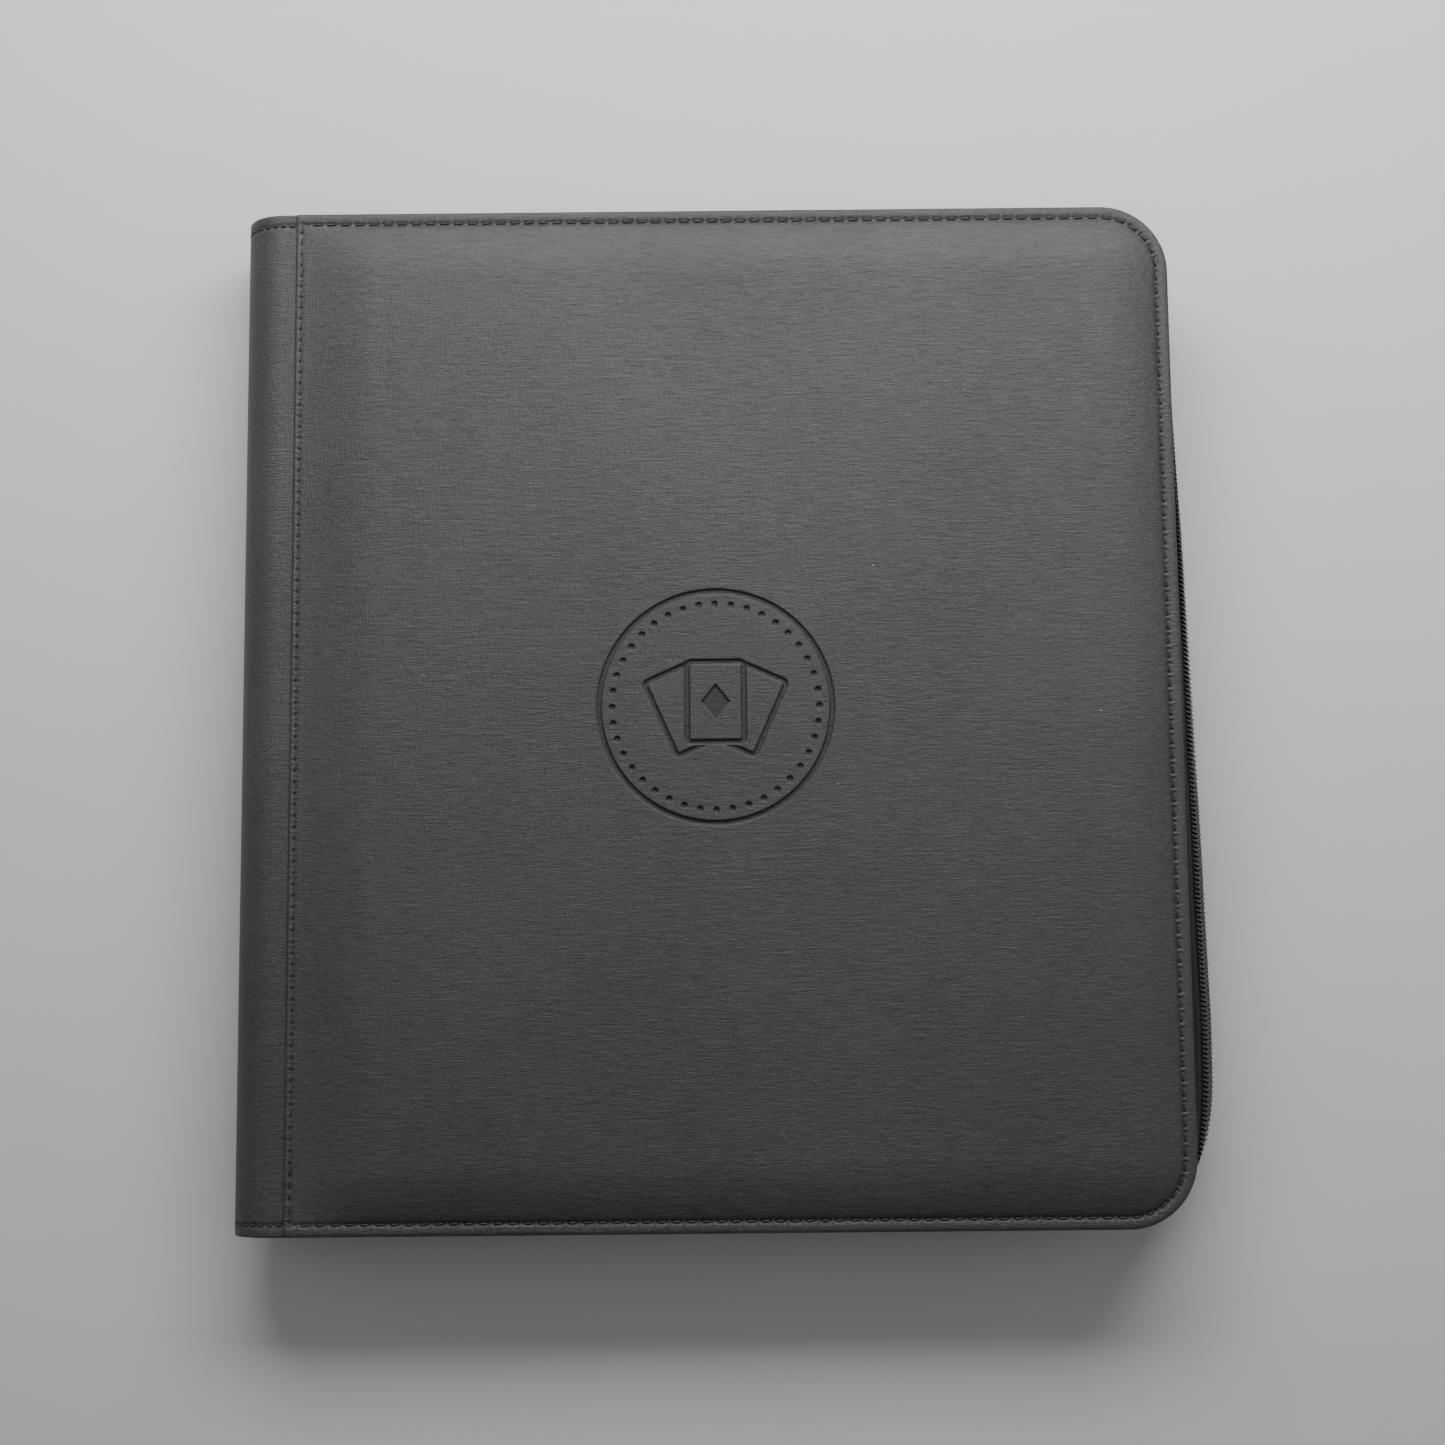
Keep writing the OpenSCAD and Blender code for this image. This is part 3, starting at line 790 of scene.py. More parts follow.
def pad_height(x, y, edge):
    """Height of the padding alone, with the slow waves that soft leather keeps."""
    covers, stitching = settings().covers, settings().stitching
    seam = x - PANEL_X - stitching.seam_inset - 0.6 * MM
    pad = shoulder(edge, covers.border, covers.crown_width)
    pad = pad * smoothstep(seam / covers.seam_shoulder) ** 0.8
    soft = (np.sin(x * 31 + 1.3) * np.sin(y * 27 + 0.4) + 0.6 * np.sin(x * 57 + y * 43)
            + 0.4 * np.sin(y * 88 - x * 19)) * 0.10 * MM
    crown = TOP_H - border_height() - 0.2 * MM
    return border_height() + (crown + soft) * pad


def cover_height(x, y, path, emblem):
    """Height of the cover's leather above the middle plane of the binder."""
    covers, stitching = settings().covers, settings().stitching
    edge, along = path.place(x, y, stitching.inset)
    seam = x - PANEL_X
    height = pad_height(x, y, edge)
    lip = 0.14 * MM * np.sin(math.pi * np.clip(edge / stitching.inset, 0, 1))
    height = height + lip
    edge_dip = sewn_dip(edge - stitching.inset, along, stitch_pitch(path), stitching.share)
    seam_dip = sewn_dip(seam - stitching.seam_inset, y, seam_pitch(), stitching.share)
    height = height - np.where(seam > 2.5 * MM, edge_dip, 0)
    height = height - np.where(edge > stitching.inset - 1 * MM, seam_dip, 0) * 0.8
    height = height - rounded_edge(edge, *EDGE_ROLL) - rounded_edge(seam, *SEAM_ROLL)
    if emblem:
        height = height - emblem_relief(x, y)
    return height


def stitch_pitch(path):
    """Pitch of the edge stitches, so that they fill the way round."""
    stitching = settings().stitching
    total = path.length(stitching.inset)
    return total / round(total / stitching.pitch)


def seam_pitch():
    """Pitch of the seam's stitches, so that they fill the way from foot to head."""
    stitching = settings().stitching
    run = 2 * (HALF_H - stitching.inset)
    return run / round(run / stitching.seam_pitch)


def refined(lines, size):
    """The same lines, with each wider gap split evenly to about a given size."""
    runs = [steps(a, b, size) for a, b in zip(lines[:-1], lines[1:])]
    return joined(*runs)


def turned_under(lines, depth):
    """Lines that begin at a folded edge, led down it and back in below, with a flag on each
    line that lies below."""
    first = lines[0]
    places = np.concatenate([[first + depth, first], lines])
    return places, np.arange(len(places)) < 2


def cover_surface(emblem):
    """The outer face of a cover, as patches that meet along their borders."""
    path = edge_path()
    r = path.radius
    coarse = 1.2 * MM
    fine = 0.4 * MM
    depth = 5 * MM
    roll = np.array([0, 0.06, 0.18, 0.4, 0.7, 1.05, 1.4]) * MM
    insets, seam_lines = (
        joined(roll, steps(roll[-1], sewn, 0.35 * MM), steps(sewn, r, 1.3 * MM))
        for sewn in (7 * MM, 5 * MM))
    seam_lines = PANEL_X + seam_lines
    x_runs = [steps(seam_lines[-1], path.corner_x, coarse)]
    y_runs = [steps(-path.corner_y, path.corner_y, coarse)]
    if emblem:
        reach = settings().emblem.radius + 1 * MM
        centre = (SPINE_X + FORE_X) / 2 + settings().emblem.shift
        pressed = 0.27 * MM
        x_runs = [steps(seam_lines[-1], centre - reach, coarse),
                  steps(centre - reach, centre + reach, pressed),
                  steps(centre + reach, path.corner_x, coarse)]
        y_runs = [steps(-path.corner_y, -reach, coarse), steps(-reach, reach, pressed),
                  steps(reach, path.corner_y, coarse)]
    x_lines, y_lines = joined(*x_runs), joined(*y_runs)
    x_fine = refined(joined(seam_lines, x_lines), fine)
    y_fine = refined(y_lines, fine)
    patches = Patchwork()
    low = LAP_H + 0.03 * MM

    def add(x, y, under=False):
        height = cover_height(x, y, path, emblem)
        patches.grid(x, y, np.where(under, low, height))

    add(*np.meshgrid(x_lines, y_lines, indexing="ij"))
    seam_x, seam_flag = turned_under(seam_lines, depth)
    x, y = np.meshgrid(seam_x, y_fine, indexing="ij")
    add(x, y, seam_flag[:, None])
    d_lines, d_flag = turned_under(insets, depth)
    x_turned, x_flag = turned_under(x_fine, depth)
    angles = np.linspace(math.pi / 2, 0, 95)
    for side in (1, -1):
        x, d = np.meshgrid(x_turned, d_lines, indexing="ij")
        add(x, side * (HALF_H - d), x_flag[:, None] | d_flag[None])
        a, d = np.meshgrid(angles, d_lines, indexing="ij")
        add(path.corner_x + (r - d) * np.cos(a), side * (path.corner_y + (r - d) * np.sin(a)),
            d_flag[None])
    d, y = np.meshgrid(d_lines, y_fine, indexing="ij")
    add(FORE_X - d, y, d_flag[:, None])
    return patches.mesh("cover")


def mark_pressed(mesh):
    """Record how deeply each point is pressed, for the burnishing and painted shade of the leather
    there.
    """
    count = len(mesh.vertices)
    places = np.empty(count * 3)
    mesh.vertices.foreach_get("co", places)
    places = places.reshape(-1, 3)
    depth = emblem_relief(places[:, 0], places[:, 1]) / settings().emblem.depth
    layer = mesh.attributes.new("pressed", "FLOAT", "POINT")
    layer.data.foreach_set("value", depth.astype(np.float32))


def to_side(mesh, side):
    """Place a mesh made above the middle plane on the front (1) or the back (-1) cover."""
    flip = Matrix.Diagonal((1, 1, side, 1))
    mesh.transform(Matrix.Translation((0, 0, MID_Z)) @ flip)
    if side < 0:
        mesh.flip_normals()


def cover_outline(path, inset, start, count):
    """Points round three sides of a cover, at an inset, from a distance start past the seam."""
    x, y, _, _ = path.at(np.linspace(start, path.length(inset) - start, count), inset)
    return x, y


def ringed(x, y, centre_x, shares):
    """Rings of points that shrink from an outline towards a point on the x axis."""
    shares = np.asarray(shares)[:, None]
    return x + (centre_x - x) * shares, y * (1 - shares)


def foam_mesh(side):
    """The pad under the leather: flat on its board, and a leather's thickness below the top."""
    path = edge_path()
    low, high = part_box("front_foam")
    x, y = cover_outline(path, FORE_X - high[0], low[0] - PANEL_X, 240)
    centre_x = (low[0] + high[0]) / 2
    bottom = low[2] - MID_Z
    leather = settings().covers.leather_thickness + 0.15 * MM
    px, py = ringed(x, y, centre_x, np.linspace(0, 1, 60) ** 1.6)
    edge, _ = path.place(px, py, 0)
    top = pad_height(px, py, edge) - leather
    if side > 0:
        top = top - emblem_relief(px, py)
    # the flat underside, from its middle out to the rim, and then the top from there back in
    px = np.concatenate([np.full_like(px[:1], centre_x), px[:1], px])
    py = np.concatenate([np.zeros_like(py[:1]), py[:1], py])
    pz = np.concatenate([np.full((2, px.shape[1]), bottom), np.maximum(top, bottom + 0.2 * MM)])
    px, py, pz = (np.concatenate([part, part[:, :1]], 1) for part in (px, py, pz))
    patches = Patchwork()
    patches.grid(px, py, pz)
    return patches.mesh("foam")


def make_covers():
    """Make both covers' leather, and the foam under it."""
    for name, side in SIDES:
        mesh = cover_surface(emblem=side > 0)
        if side > 0:
            mark_pressed(mesh)
        to_side(mesh, side)
        cover = piece(f"{name}_cover_leather", mesh, leather_material())
        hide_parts(f"{name}_panel")
        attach(cover, f"{name}_cover")

        mesh = foam_mesh(side)
        outward(mesh)
        to_side(mesh, side)
        foam = piece(f"{name}_foam_pad", mesh, foam_material(), smooth=False)
        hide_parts(f"{name}_foam")
        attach(foam, f"{name}_cover")


# ---- Spine ----

def spine_profile(depth, end_x):
    """Half of the spine's section, from the middle plane round to the cover: x and height,
    at a depth below the outside of the leather."""
    flat = settings().covers.spine_flat / 2
    radius = LAP_H - flat
    centre_x = SPINE_X + radius
    angles = np.linspace(0, math.pi / 2, 49)
    r = radius - depth
    x = np.concatenate([[SPINE_X + depth] * 2, centre_x - r * np.cos(angles[1:]),
                        np.linspace(centre_x, end_x, 6)[1:]])
    h = np.concatenate([[0, flat], flat + r * np.sin(angles[1:]), [flat + r] * 5])
    return x, h


def wrap_strip(thickness, depth, end_x, half_length, roll, sewn=False):
    """A strip of leather or cloth that follows half of the spine's round."""
    outer_x, outer_h = spine_profile(depth, end_x)
    inner_x, inner_h = spine_profile(depth + thickness, end_x)
    mid_x, mid_h = (outer_x + inner_x) / 2, (outer_h + inner_h) / 2
    out_x, out_h = (outer_x - inner_x) / thickness, (outer_h - inner_h) / thickness
    run = run_along(outer_x, outer_h)
    ends = roll * (1 - np.cos(np.linspace(0, math.pi / 2, 6)))
    if sewn:
        ends = joined(ends, steps(roll, 7 * MM, 0.4 * MM))
    inner_y = steps(-half_length + ends[-1], half_length - ends[-1], 4 * MM)[1:-1]
    y = np.concatenate([-half_length + ends, inner_y, half_length - ends[::-1]])
    gap = np.minimum(half_length - np.abs(y), roll) / roll
    full = np.sqrt(np.maximum(1 - (1 - gap) ** 2, 0.02))
    rings = []
    for yy, f in zip(y, full):
        ox, oh = mid_x + (outer_x - mid_x) * f, mid_h + (outer_h - mid_h) * f
        ix, ih = mid_x + (inner_x - mid_x) * f, mid_h + (inner_h - mid_h) * f
        if sewn:
            from_end = half_length - abs(yy) - settings().stitching.inset
            dip = sewn_dip(from_end, run, spine_pitch(), settings().stitching.share)
            ox, oh = ox - out_x * dip, oh - out_h * dip
        ring_x = np.concatenate([ox, ix[::-1]])
        ring_h = np.concatenate([oh, ih[::-1]])
        rings.append(np.stack([ring_x, np.full_like(ring_x, yy), ring_h], -1))
    patches = Patchwork()
    patches.tube_grid(np.array(rings))
    return patches.mesh("strip", weld=0)


def run_along(x, h):
    """Distance of each point of a section from its start, measured along it."""
    return np.concatenate([[0], np.cumsum(np.hypot(np.diff(x), np.diff(h)))])


def spine_pitch():
    """Pitch of the stitches over the spine's ends, so that they fill half of its round."""
    run = run_along(*spine_profile(0, PANEL_X))[-1]
    return run / round(run / (0.78 * settings().stitching.seam_pitch))


def crease_blend(obj, side):
    """Bake the placing of a half strip of the spine into its mesh, alike on either side."""
    if side > 0:
        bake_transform(obj)
    else:
        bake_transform(obj)


def make_spine():
    """Make the spine's leather, in two halves that meet at its middle."""
    leather = settings().covers.leather_thickness
    for name, side in SIDES:
        mesh = wrap_strip(leather, 0, LAP_X, HALF_H, 0.9 * MM, sewn=True)
        outward(mesh)
        to_side(mesh, side)
        strip = piece(f"{name}_spine_leather", mesh, leather_material())
        hidden = [f"{name}_hinge_strip"] + (["spine_wrap"] if side > 0 else [])
        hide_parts(*hidden)
        crease_blend(strip, side)


def spine_lining_mesh():
    """Half of the spine's lining, with the flat size of its cloth."""
    under = settings().covers.leather_thickness + STIFFENER_ROOM
    end_x = LAP_X - 2 * MM
    mesh = wrap_strip(SPINE_CLOTH, under, end_x, LINING_HIGH[1], 0.3 * MM)
    for vertex in mesh.vertices:
        # from the stiffener's edge the cloth eases out to lie against the leather
        ease = smoothstep((vertex.co.x - SPINE_X - 5 * MM) / (7 * MM))
        vertex.co.z += 0.9 * MM * ease
    width = run_along(*spine_profile(under, end_x))[-1]
    return mesh, (float(width), 2 * LINING_HIGH[1])


def cover_lining_mesh():
    """A cover's lining with its hem turned under, with the flat size and area of its cloth."""
    start = LAP_X - 2.5 * MM - PANEL_X
    x, y = cover_outline(edge_path(), FORE_X - LINING_HIGH[0], start, 200)
    hem = 0.006
    shares = np.concatenate([[0, 0.002, hem], np.linspace(0.02, 1, 40)])
    px, py = ringed(x, y, PANEL_X + start, shares)
    shares = shares[:, None]
    hem_drop = 0.3 * MM
    fold = hem_drop * (1 - np.minimum(shares / hem, 1)) ** 2
    sag = 0.12 * MM * np.sin(px * 60) * np.sin(py * 48) * (shares > hem)
    thickness = LINING_HIGH[2] - LINING_LOW[2]
    patches = Patchwork()
    patches.grid(px, py, LINING_H + fold + sag)
    rim = np.array([[thickness], [hem_drop]]) + LINING_H + 0 * x
    patches.grid(np.stack([x, x]), np.stack([y, y]), rim)
    area = 0.5 * abs(np.dot(x, np.roll(y, 1)) - np.dot(y, np.roll(x, 1)))
    return patches.mesh("lining"), (float(np.ptp(x)), float(np.ptp(y))), float(area)


def make_lining():
    """Make the cloth that lines the spine and both covers."""
    for name, side in SIDES:
        mesh, cut = spine_lining_mesh()
        outward(mesh)
        to_side(mesh, side)
        strip = piece(f"{name}_spine_lining_cloth", mesh, lining_material())
        if side > 0:
            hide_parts("spine_lining")
        crease_blend(strip, side)

        mesh, cut, area = cover_lining_mesh()
        outward(mesh)
        to_side(mesh, side)
        cloth = piece(f"{name}_lining_cloth", mesh, lining_material())
        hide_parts(f"{name}_lining")
        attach(cloth, f"{name}_cover")


# ---- Stitching ----

# how far the thread has sunk into the leather, and how far askew each lockstitch lies
STITCH_SINK = 0.12 * MM
STITCH_LEAN = 0.07


def stitch_mesh(centres, tangents, normals, length):
    """Short threads that rise out of one hole, lie on the leather and dive into the next."""
    radius = settings().stitching.thread / 2
    patches = Patchwork()
    t = np.linspace(-1, 1, 11)
    arch = np.where(np.abs(t) < 0.55, 0, -((np.abs(t) - 0.55) / 0.45) ** 2 * 0.75 * MM)
    thin = 1 - 0.25 * t ** 4
    around = np.linspace(0, FULL_TURN, 7)[:-1]
    for centre, tangent, normal in zip(centres, tangents, normals):
        side = np.cross(tangent, normal)
        spine = centre + np.outer(t * length / 2, tangent) + np.outer(arch, normal)
        ring = (np.cos(around)[:, None] * side + np.sin(around)[:, None] * normal)
        patches.tube_grid(spine[:, None, :] + (radius * thin)[:, None, None] * ring[None])
    return patches.mesh("stitches", weld=0)


def level_row(x, y, sink, tangent_x, tangent_y):
    """Middles, directions and normals of a row of stitches that lies level on the border."""
    centres = np.stack([x, y, np.full_like(x, border_height() - sink)], -1)
    tangents = np.stack([tangent_x, tangent_y, np.zeros_like(x)], -1)
    tangents /= np.linalg.norm(tangents, axis=1)[:, None]
    return centres, tangents, np.tile([0.0, 0.0, 1.0], (len(x), 1))


def edge_stitches(path):
    """The row round three sides of a cover."""
    stitching = settings().stitching
    pitch = stitch_pitch(path)
    total = path.length(stitching.inset)
    s = np.arange(round(total / pitch)) * pitch + pitch / 2
    s = s[(s > 3.4 * MM) & (s < total - 3.4 * MM)]
    x, y, nx, ny = path.at(s, stitching.inset)
    row = level_row(x, y, STITCH_SINK, ny + STITCH_LEAN * nx, -nx + STITCH_LEAN * ny)
    return *row, pitch * stitching.share


def seam_stitches():
    """The row down the spine seam of a cover."""
    stitching = settings().stitching
    pitch = seam_pitch()
    half = HALF_H - stitching.inset
    y = np.arange(round(2 * half / pitch)) * pitch - half + pitch / 2
    x = np.full_like(y, PANEL_X + stitching.seam_inset)
    row = level_row(x, y, 0.10 * MM, np.full_like(y, STITCH_LEAN), np.ones_like(y))
    return *row, pitch * stitching.share


def spine_end_stitches():
    """Stitches over the head and the foot of half of the spine."""
    stitching = settings().stitching
    px, ph = spine_profile(0, PANEL_X)
    run = run_along(px, ph)
    s = (np.arange(round(run[-1] / spine_pitch())) + 0.5) * spine_pitch()
    x, h = np.interp(s, run, px), np.interp(s, run, ph)
    ahead, behind = s + 0.2 * MM, s - 0.2 * MM
    dx = np.interp(ahead, run, px) - np.interp(behind, run, px)
    dh = np.interp(ahead, run, ph) - np.interp(behind, run, ph)
    size = np.hypot(dx, dh)
    tangents = np.stack([dx / size, np.zeros_like(x), dh / size], -1)
    normals = np.stack([-dh / size, np.zeros_like(x), dx / size], -1)
    rows = []
    for side in (-1, 1):
        y = np.full_like(x, side * (HALF_H - stitching.inset))
        rows.append(np.stack([x, y, h], -1) - normals * STITCH_SINK)
    return (np.concatenate(rows), np.tile(tangents, (2, 1)), np.tile(normals, (2, 1)),
            spine_pitch() * stitching.share)


def make_stitching():
    """Sew every row of stitches."""
    for name, side in SIDES:
        for row, stitches in (("edge", edge_stitches(edge_path())), ("spine", seam_stitches())):
            mesh = stitch_mesh(*stitches)
            to_side(mesh, side)
            sewn = piece(f"{name}_{row}_stitches", mesh, thread_material())
            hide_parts(f"{name}_{row}_stitching")
            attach(sewn, f"{name}_cover")
        mesh = stitch_mesh(*spine_end_stitches())
        to_side(mesh, side)
        ends = piece(f"{name}_spine_end_stitches", mesh, thread_material())
        crease_blend(ends, side)


# ---- Zip ----

# How the shut tape leaves the cover's edge, as a share of the tuck (1) or of the bulge (-1),
# against the height up the cover from the foot (-1) to the head (1)
ZIP_SHAPE = (
    (-1, 1), (-0.94, 0.35), (-0.87, -0.5), (-0.79, -0.88), (-0.72, -1), (-0.6, -1),
    (-0.2, -0.8), (0.35, -0.5), (0.7, -0.15), (0.86, 0.15), (0.94, 0.6), (1, 1),
)


class ZipRun:
    """The line of the shut zip, with how far it lies in, and how far it rolls up, at each place."""

    def __init__(self):
        zip_ = settings().zip
        self.path = EdgePath(TAPE_X, settings().covers.corner_radius)
        self.total = self.path.length(0)
        self.s = np.linspace(0, self.total, 1200)
        x, y, nx, ny = self.path.at(self.s)
        share = np.interp(y / HALF_H, *np.array(ZIP_SHAPE).T)
        share = np.where(np.abs(ny) > 0.999, 1.0, share)
        window = np.hanning(33)
        padded = np.pad(share, 16, mode="edge")
        share = np.convolve(padded, window / window.sum(), mode="valid")
        bulge = BULGE_X - FORE_X - zip_.stand
        self.inset = np.where(share > 0, share * zip_.tuck, share * bulge)
        self.rise = smoothstep(-share)

    def at(self, s):
        """Point, outward normal, inset and rise at a distance s along the zip."""
        x, y, nx, ny = self.path.at(np.clip(s, 0, self.total))
        return (x, y, nx, ny, np.interp(s, self.s, self.inset), np.interp(s, self.s, self.rise))


def rolled_up(depth, height, inset, rise, side):
    """Turn the shut zip's section about its middle, so that where it bulges it faces up."""
    zip_ = settings().zip
    signed = side * height
    stiff = 2.6 * MM
    near = 1 - smoothstep((np.abs(height) - stiff) / (TAPE_TOP - stiff))
    turn = rise * zip_.roll
    out = inset - depth
    turned_out = out * np.cos(turn) - signed * np.sin(turn)
    turned_up = out * np.sin(turn) + signed * np.cos(turn) + rise * zip_.lift
    depth = depth + near * ((inset - turned_out) - depth)
    signed = signed + near * (turned_up - signed)
    return depth, side * signed


def tape_inset(inset, height):
    """Inset of the tape's outer face at a height above the middle plane."""
    drop = smoothstep((TAPE_TOP - height) / (TAPE_TOP - settings().zip.flat))
    return TAPE_OUT + (inset - TAPE_OUT) * drop


def tape_mesh(run, side):
    """Half of the tape: sewn in under the cover's lap, down its edge and in to the coil."""
    zip_ = settings().zip
    heights = np.concatenate([
        np.linspace(TAPE_TOP, zip_.flat, 11), np.array([4.5, 2.6, 0.45]) * MM])
    s = np.linspace(0, run.total, 620)
    x, y, nx, ny, inset, rise = run.at(s)
    rings = []
    # a soft ripple where the tape is gathered along its coil
    ripple = 0.10 * MM * np.sin(s / (9 * MM)) + 0.06 * MM * np.sin(s / (4.1 * MM) + 1)
    for i in range(len(s)):
        depth = tape_inset(inset[i], heights)
        depth = depth + ripple[i] * smoothstep((TAPE_TOP - heights) / (6 * MM))
        face, up = rolled_up(depth, heights, inset[i], rise[i], side)
        back, back_up = rolled_up(depth + zip_.tape, heights, inset[i], rise[i], side)
        d = np.concatenate([[TAPE_SEWN, TAPE_OUT], face, back[::-1], [TAPE_SEWN]])
        h = np.concatenate([[LAP_H - 0.05 * MM] * 2, up, back_up[::-1], [TAPE_TOP]])
        rings.append(np.stack([x[i] - nx[i] * d, y[i] - ny[i] * d, h], -1))
    patches = Patchwork()
    patches.tube_grid(np.array(rings))
    return patches.mesh("tape", weld=0)


def coil_mesh(run, side):
    """A filament wound in flattened turns that reach past the middle to mesh with the other."""
    zip_ = settings().zip
    per_turn = 14
    sides = 6
    turns = int(run.total / zip_.pitch) - 2
    t = np.arange(turns * per_turn + 1) / per_turn
    s = (t + 0.5 + (0 if side > 0 else 0.5)) * zip_.pitch
    x, y, nx, ny, inset, rise = run.at(s)
    # the turns reach from just past the middle plane, where they mesh, up on to the tape
    low = -0.62 * MM
    high = 2.5 * MM
    wind = FULL_TURN * t
    squeeze = np.sign(np.cos(wind)) * np.abs(np.cos(wind)) ** 0.75
    h = (low + high) / 2 + (high - low) / 2 * squeeze
    wire = zip_.wire / 2 * (1 + 0.18 * (h < 0.2 * MM))
    depth = inset - zip_.stand / 2 - (zip_.stand - zip_.wire) / 2 * np.sin(wind)
    depth, h = rolled_up(depth, h, inset, rise, side)
    centre = np.stack([x - nx * depth, y - ny * depth, h], -1)
    forward = np.gradient(centre, axis=0)
    forward /= np.linalg.norm(forward, axis=1)[:, None]
    along = np.stack([ny, -nx, np.zeros_like(nx)], -1)
    first = np.cross(forward, along)
    first /= np.linalg.norm(first, axis=1)[:, None]
    second = np.cross(first, forward)
    around = np.linspace(0, FULL_TURN, sides + 1)[:-1]
    rings = centre[:, None] + wire[:, None, None] * (
        np.cos(around)[None, :, None] * first[:, None]
        + np.sin(around)[None, :, None] * second[:, None])
    patches = Patchwork()
    patches.tube_grid(rings)
    return patches.mesh("coil", weld=0)


def make_zip():
    """Make both halves of the zip."""
    run = ZipRun()
    for name, side in SIDES:
        mesh = tape_mesh(run, side)
        outward(mesh)
        to_side(mesh, side)
        tape = piece(f"{name}_woven_tape", mesh, tape_material())
        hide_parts(f"{name}_zip_tape")
        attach(tape, f"{name}_cover")
        mesh = coil_mesh(run, side)
        outward(mesh)
        to_side(mesh, side)
        coil = piece(f"{name}_wound_coil", mesh, coil_material())
        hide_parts(f"{name}_zip_coil")
        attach(coil, f"{name}_cover")


# ---- Pages ----

def leaf_mesh(low, high):
    """A page's black sheet, with rounded outer corners."""
    radius = 3 * MM
    turn = np.radians(np.arange(0, 91, 15))
    corner_x = high[0] - radius
    x = np.concatenate([
        corner_x + radius * np.sin(turn), corner_x + radius * np.cos(turn), [low[0], low[0]]])
    y = np.concatenate([
        low[1] + radius * (1 - np.cos(turn)), high[1] - radius * (1 - np.sin(turn)),
        [high[1], low[1]]])
    patches = Patchwork()
    patches.tube_grid(np.array([np.stack([x, y, np.full_like(x, z)], -1)
                                for z in (low[2], high[2])]))
    return patches.mesh("leaf", weld=0)


def film_mesh(low, high, sheet_low, sheet_high):
    """Clear pockets on both faces of a sheet, each welded on three sides."""
    pages = settings().pages
    patches = Patchwork()
    width = (high[0] - low[0]) / pages.columns
    height = (high[1] - low[1]) / pages.rows
    share = np.array([0, 0.02, 0.06, 0.2, 0.4, 0.6, 0.8, 0.94, 0.98, 1])
    u, v = np.meshgrid(share, share, indexing="ij")
    swell_u, swell_v = (1 - (1 - np.minimum(t, 1 - t) * 2) ** 6 for t in (u, v))
    # the side next to the spine stays open, so its film never comes down to the weld
    lift = np.maximum(swell_u * swell_v, 0.55 * (1 - u) ** 4 * swell_v)
    for face in (1, -1):
        base = sheet_high[2] if face > 0 else sheet_low[2]
        for column in range(pages.columns):
            for row in range(pages.rows):
                x0 = low[0] + column * width + pages.weld / 2
                y0 = low[1] + row * height + pages.weld / 2
                x = x0 + u * (width - pages.weld)
                y = y0 + v * (height - pages.weld)
                z = base + face * (0.03 * MM + pages.puff * lift)
                patches.grid(x, y, z, flip=face < 0)
    return patches.mesh("film", weld=0)


def make_pages():
    """Make every page that the frame has a body for."""
    names = sorted(body for body in frame["bodies"] if body.startswith("page_"))
    for body in names:
        sheet_low, sheet_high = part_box(f"{body}_sheet")
        leaf = piece(f"{body}_leaf", leaf_mesh(sheet_low, sheet_high), page_material(),
                     smooth=False)
        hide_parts(f"{body}_sheet")
        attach(leaf, body)
        low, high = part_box(f"{body}_pockets")
        film = piece(f"{body}_clear_pockets", film_mesh(low, high, sheet_low, sheet_high),
                     film_material())
        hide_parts(f"{body}_pockets")
        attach(film, body)


# ---- Pieces kept from the frame ----

def make_core():
    """Finishes for the pieces whose shape in the frame is already right."""
    finishes = {
        "back_board": board_material, "front_board": board_material,
        "spine_board": board_material, "page_binding_block": binding_material,
        "zip_slider": metal_material, "zip_pull": metal_material,
    }
    for node, finish in finishes.items():
        obj = frame["nodes"][node]
        obj.data.materials.clear()
        obj.data.materials.append(finish())


# ---- Stage ----

def area_light(name, place, target, size, power):
    """A soft rectangular light, aimed at a point."""
    light = bpy.data.lights.new(name, "AREA")
    light.shape = "RECTANGLE"
    light.size, light.size_y = size
    light.energy = power
    obj = bpy.data.objects.new(name, light)
    obj.location = place
    aim = Vector(target) - Vector(place)
    obj.rotation_euler = aim.to_track_quat("-Z", "Y").to_euler()
    bpy.context.scene.collection.objects.link(obj)


def floor_material():
    """A pale matt floor."""
    material, tree, shader = base_material("pale_floor", specular=0.2)
    if tree is None:
        return material
    colour = Vector(settings().stage.floor_colour)
    mottle = noise(tree, (0.02, 0.02, 0.02), 3.0)
    wire_up(tree, [
        (colour_between(tree, mottle, colour * 0.97, colour * 1.02),
         shader.inputs["Base Color"]),
        (ranged(tree, mottle, 0, 1, 0.85, 0.75), shader.inputs["Roughness"]),
    ])
    return material


def make_floor():
    """A plain floor, wide enough to fill the view."""
    reach = 3.0
    mesh = bpy.data.meshes.new("floor")
    mesh.from_pydata([(-reach, -reach, 0), (reach, -reach, 0), (reach, reach, 0),
                      (-reach, reach, 0)], [], [(0, 1, 2, 3)])
    mesh.materials.append(floor_material())
    floor = bpy.data.objects.new("floor", mesh)
    bpy.context.scene.collection.objects.link(floor)


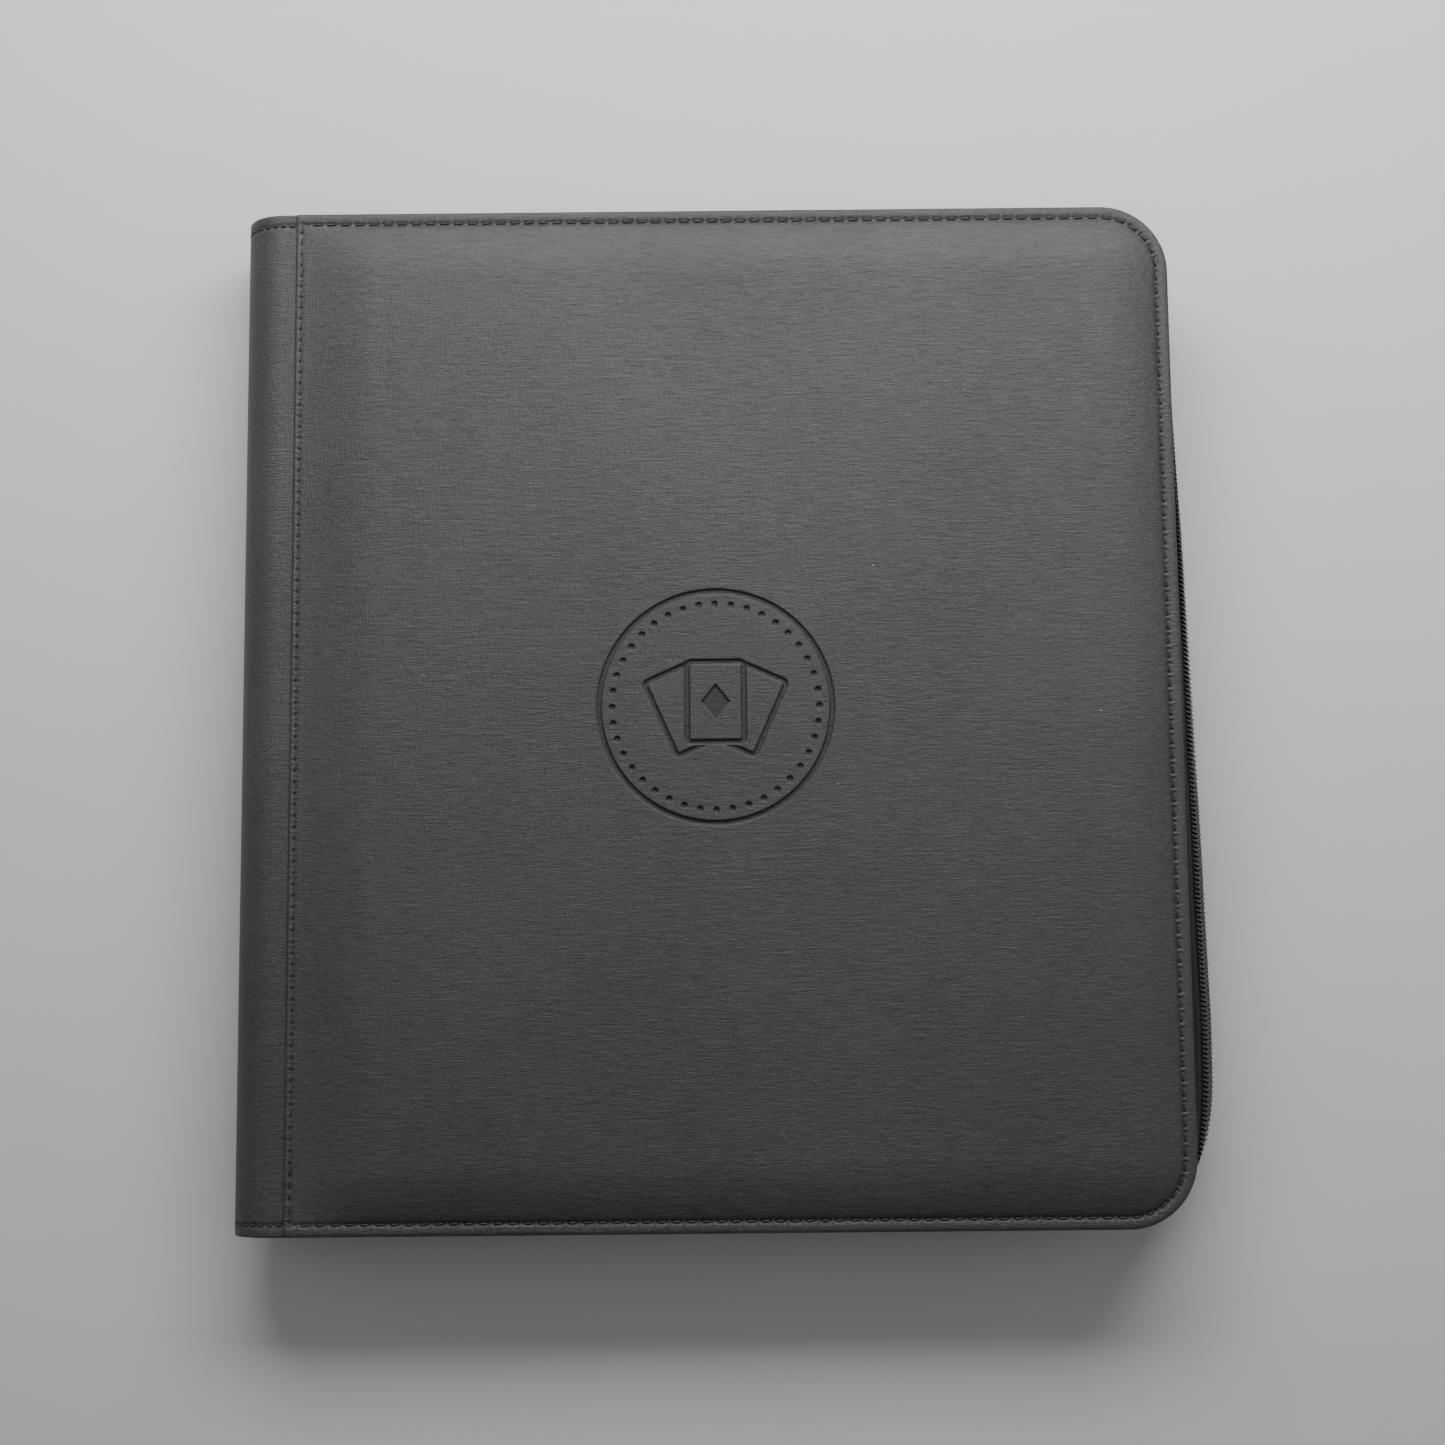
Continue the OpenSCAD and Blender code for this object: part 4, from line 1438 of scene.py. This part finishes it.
def make_camera():
    """The camera, over the middle of the front cover."""
    stage = settings().stage
    middle = Vector(((SPINE_X + FORE_X) / 2, 0, MID_Z + LAP_H + 2.2 * MM))
    turn = Euler((stage.tilt, 0, 0)).to_matrix() @ Matrix.Rotation(-stage.roll, 3, "Z")
    camera = bpy.data.cameras.new("camera")
    camera.lens = stage.lens
    camera.sensor_width = 36
    camera.clip_start = 0.01
    view = bpy.data.objects.new("camera", camera)
    view.matrix_world = Matrix.Translation(middle + turn @ stage.offset) @ turn.to_4x4()
    bpy.context.scene.collection.objects.link(view)
    bpy.context.scene.camera = view


def make_stage():
    """Make the floor, the camera, the three lights and the even light of the room."""
    make_floor()
    make_camera()
    area_light("head_light", (0.05, 0.50, 0.46), (0, 0.02, 0.03), (0.9, 0.26), 8.3)
    area_light("spine_light", (-0.9, 0.1, 0.8), (0, 0, 0.03), (0.9, 0.9), 1.3)
    area_light("fore_light", (0.9, -0.1, 0.7), (0, 0, 0.03), (0.7, 0.7), 1.1)
    world = bpy.data.worlds.new("soft_room")
    world.use_nodes = True
    room = world.node_tree.nodes["Background"]
    room.inputs["Color"].default_value = (0.97, 0.98, 1.0, 1)
    room.inputs["Strength"].default_value = 0.17
    bpy.context.scene.world = world


# ---- Operators ----

class BINDER_OT_stage(bpy.types.Operator):
    """Make the pale floor, the soft lights and the camera"""
    bl_idname = "binder.stage"
    bl_label = "Stage"
    bl_options = {"REGISTER", "UNDO"}

    def execute(self, context):
        make_stage()
        return {"FINISHED"}


class BINDER_OT_covers(bpy.types.Operator):
    """Make the padded leather of both covers, with the emblem pressed into the front"""
    bl_idname = "binder.covers"
    bl_label = "Cover leather"
    bl_options = {"REGISTER", "UNDO"}

    def execute(self, context):
        make_covers()
        return {"FINISHED"}


class BINDER_OT_spine(bpy.types.Operator):
    """Make the leather that rounds the spine and runs under both covers"""
    bl_idname = "binder.spine"
    bl_label = "Spine leather"
    bl_options = {"REGISTER", "UNDO"}

    def execute(self, context):
        make_spine()
        return {"FINISHED"}


class BINDER_OT_lining(bpy.types.Operator):
    """Make the cloth lining of the covers and the spine"""
    bl_idname = "binder.lining"
    bl_label = "Lining"
    bl_options = {"REGISTER", "UNDO"}

    def execute(self, context):
        make_lining()
        return {"FINISHED"}


class BINDER_OT_stitching(bpy.types.Operator):
    """Sew the stitches round the edges, down the spine seams and over the spine's ends"""
    bl_idname = "binder.stitching"
    bl_label = "Stitching"
    bl_options = {"REGISTER", "UNDO"}

    def execute(self, context):
        make_stitching()
        return {"FINISHED"}


class BINDER_OT_zip(bpy.types.Operator):
    """Make the zip's woven tapes and wound coils"""
    bl_idname = "binder.zip"
    bl_label = "Zip"
    bl_options = {"REGISTER", "UNDO"}

    def execute(self, context):
        make_zip()
        return {"FINISHED"}


class BINDER_OT_pages(bpy.types.Operator):
    """Make the pages, each a black sheet with clear pockets on both faces"""
    bl_idname = "binder.pages"
    bl_label = "Pages"
    bl_options = {"REGISTER", "UNDO"}

    def execute(self, context):
        make_pages()
        return {"FINISHED"}


class BINDER_OT_core(bpy.types.Operator):
    """Give the boards, binding block, slider and pull their finishes"""
    bl_idname = "binder.core"
    bl_label = "Core and slider"
    bl_options = {"REGISTER", "UNDO"}

    def execute(self, context):
        make_core()
        return {"FINISHED"}


OPERATORS = (
    BINDER_OT_stage, BINDER_OT_covers, BINDER_OT_spine, BINDER_OT_lining,
    BINDER_OT_stitching, BINDER_OT_zip, BINDER_OT_pages, BINDER_OT_core,
)


class BINDER_PT_panel(bpy.types.Panel):
    """Sizes and colours of the binder, and the buttons that make its pieces"""
    bl_idname = "BINDER_PT_panel"
    bl_label = "Card binder"
    bl_space_type = "VIEW_3D"
    bl_region_type = "UI"
    bl_category = "Binder"

    def draw(self, context):
        for operator in OPERATORS:
            self.layout.operator(operator.bl_idname)
        binder = context.scene.card_binder
        for group in ("covers", "emblem", "stitching", "zip", "pages", "stage"):
            box = self.layout.box()
            box.label(text=group.capitalize())
            values = getattr(binder, group)
            for name in values.__annotations__:
                box.prop(values, name)


CLASSES = (
    BinderCovers, BinderEmblem, BinderStitching, BinderZip, BinderPages, BinderStage,
    BinderSettings, *OPERATORS, BINDER_PT_panel,
)


def register():
    """Register the settings, the operators and the panel."""
    for cls in CLASSES:
        bpy.utils.register_class(cls)
    bpy.types.Scene.card_binder = PointerProperty(type=BinderSettings)


def unregister():
    """Take away all that register() added."""
    del bpy.types.Scene.card_binder
    for cls in reversed(CLASSES):
        bpy.utils.unregister_class(cls)


def main():
    """Make the whole binder on its stage."""
    register()
    for operator in OPERATORS:
        group, name = operator.bl_idname.split(".")
        getattr(getattr(bpy.ops, group), name)()


if __name__ == "__main__":
    main()
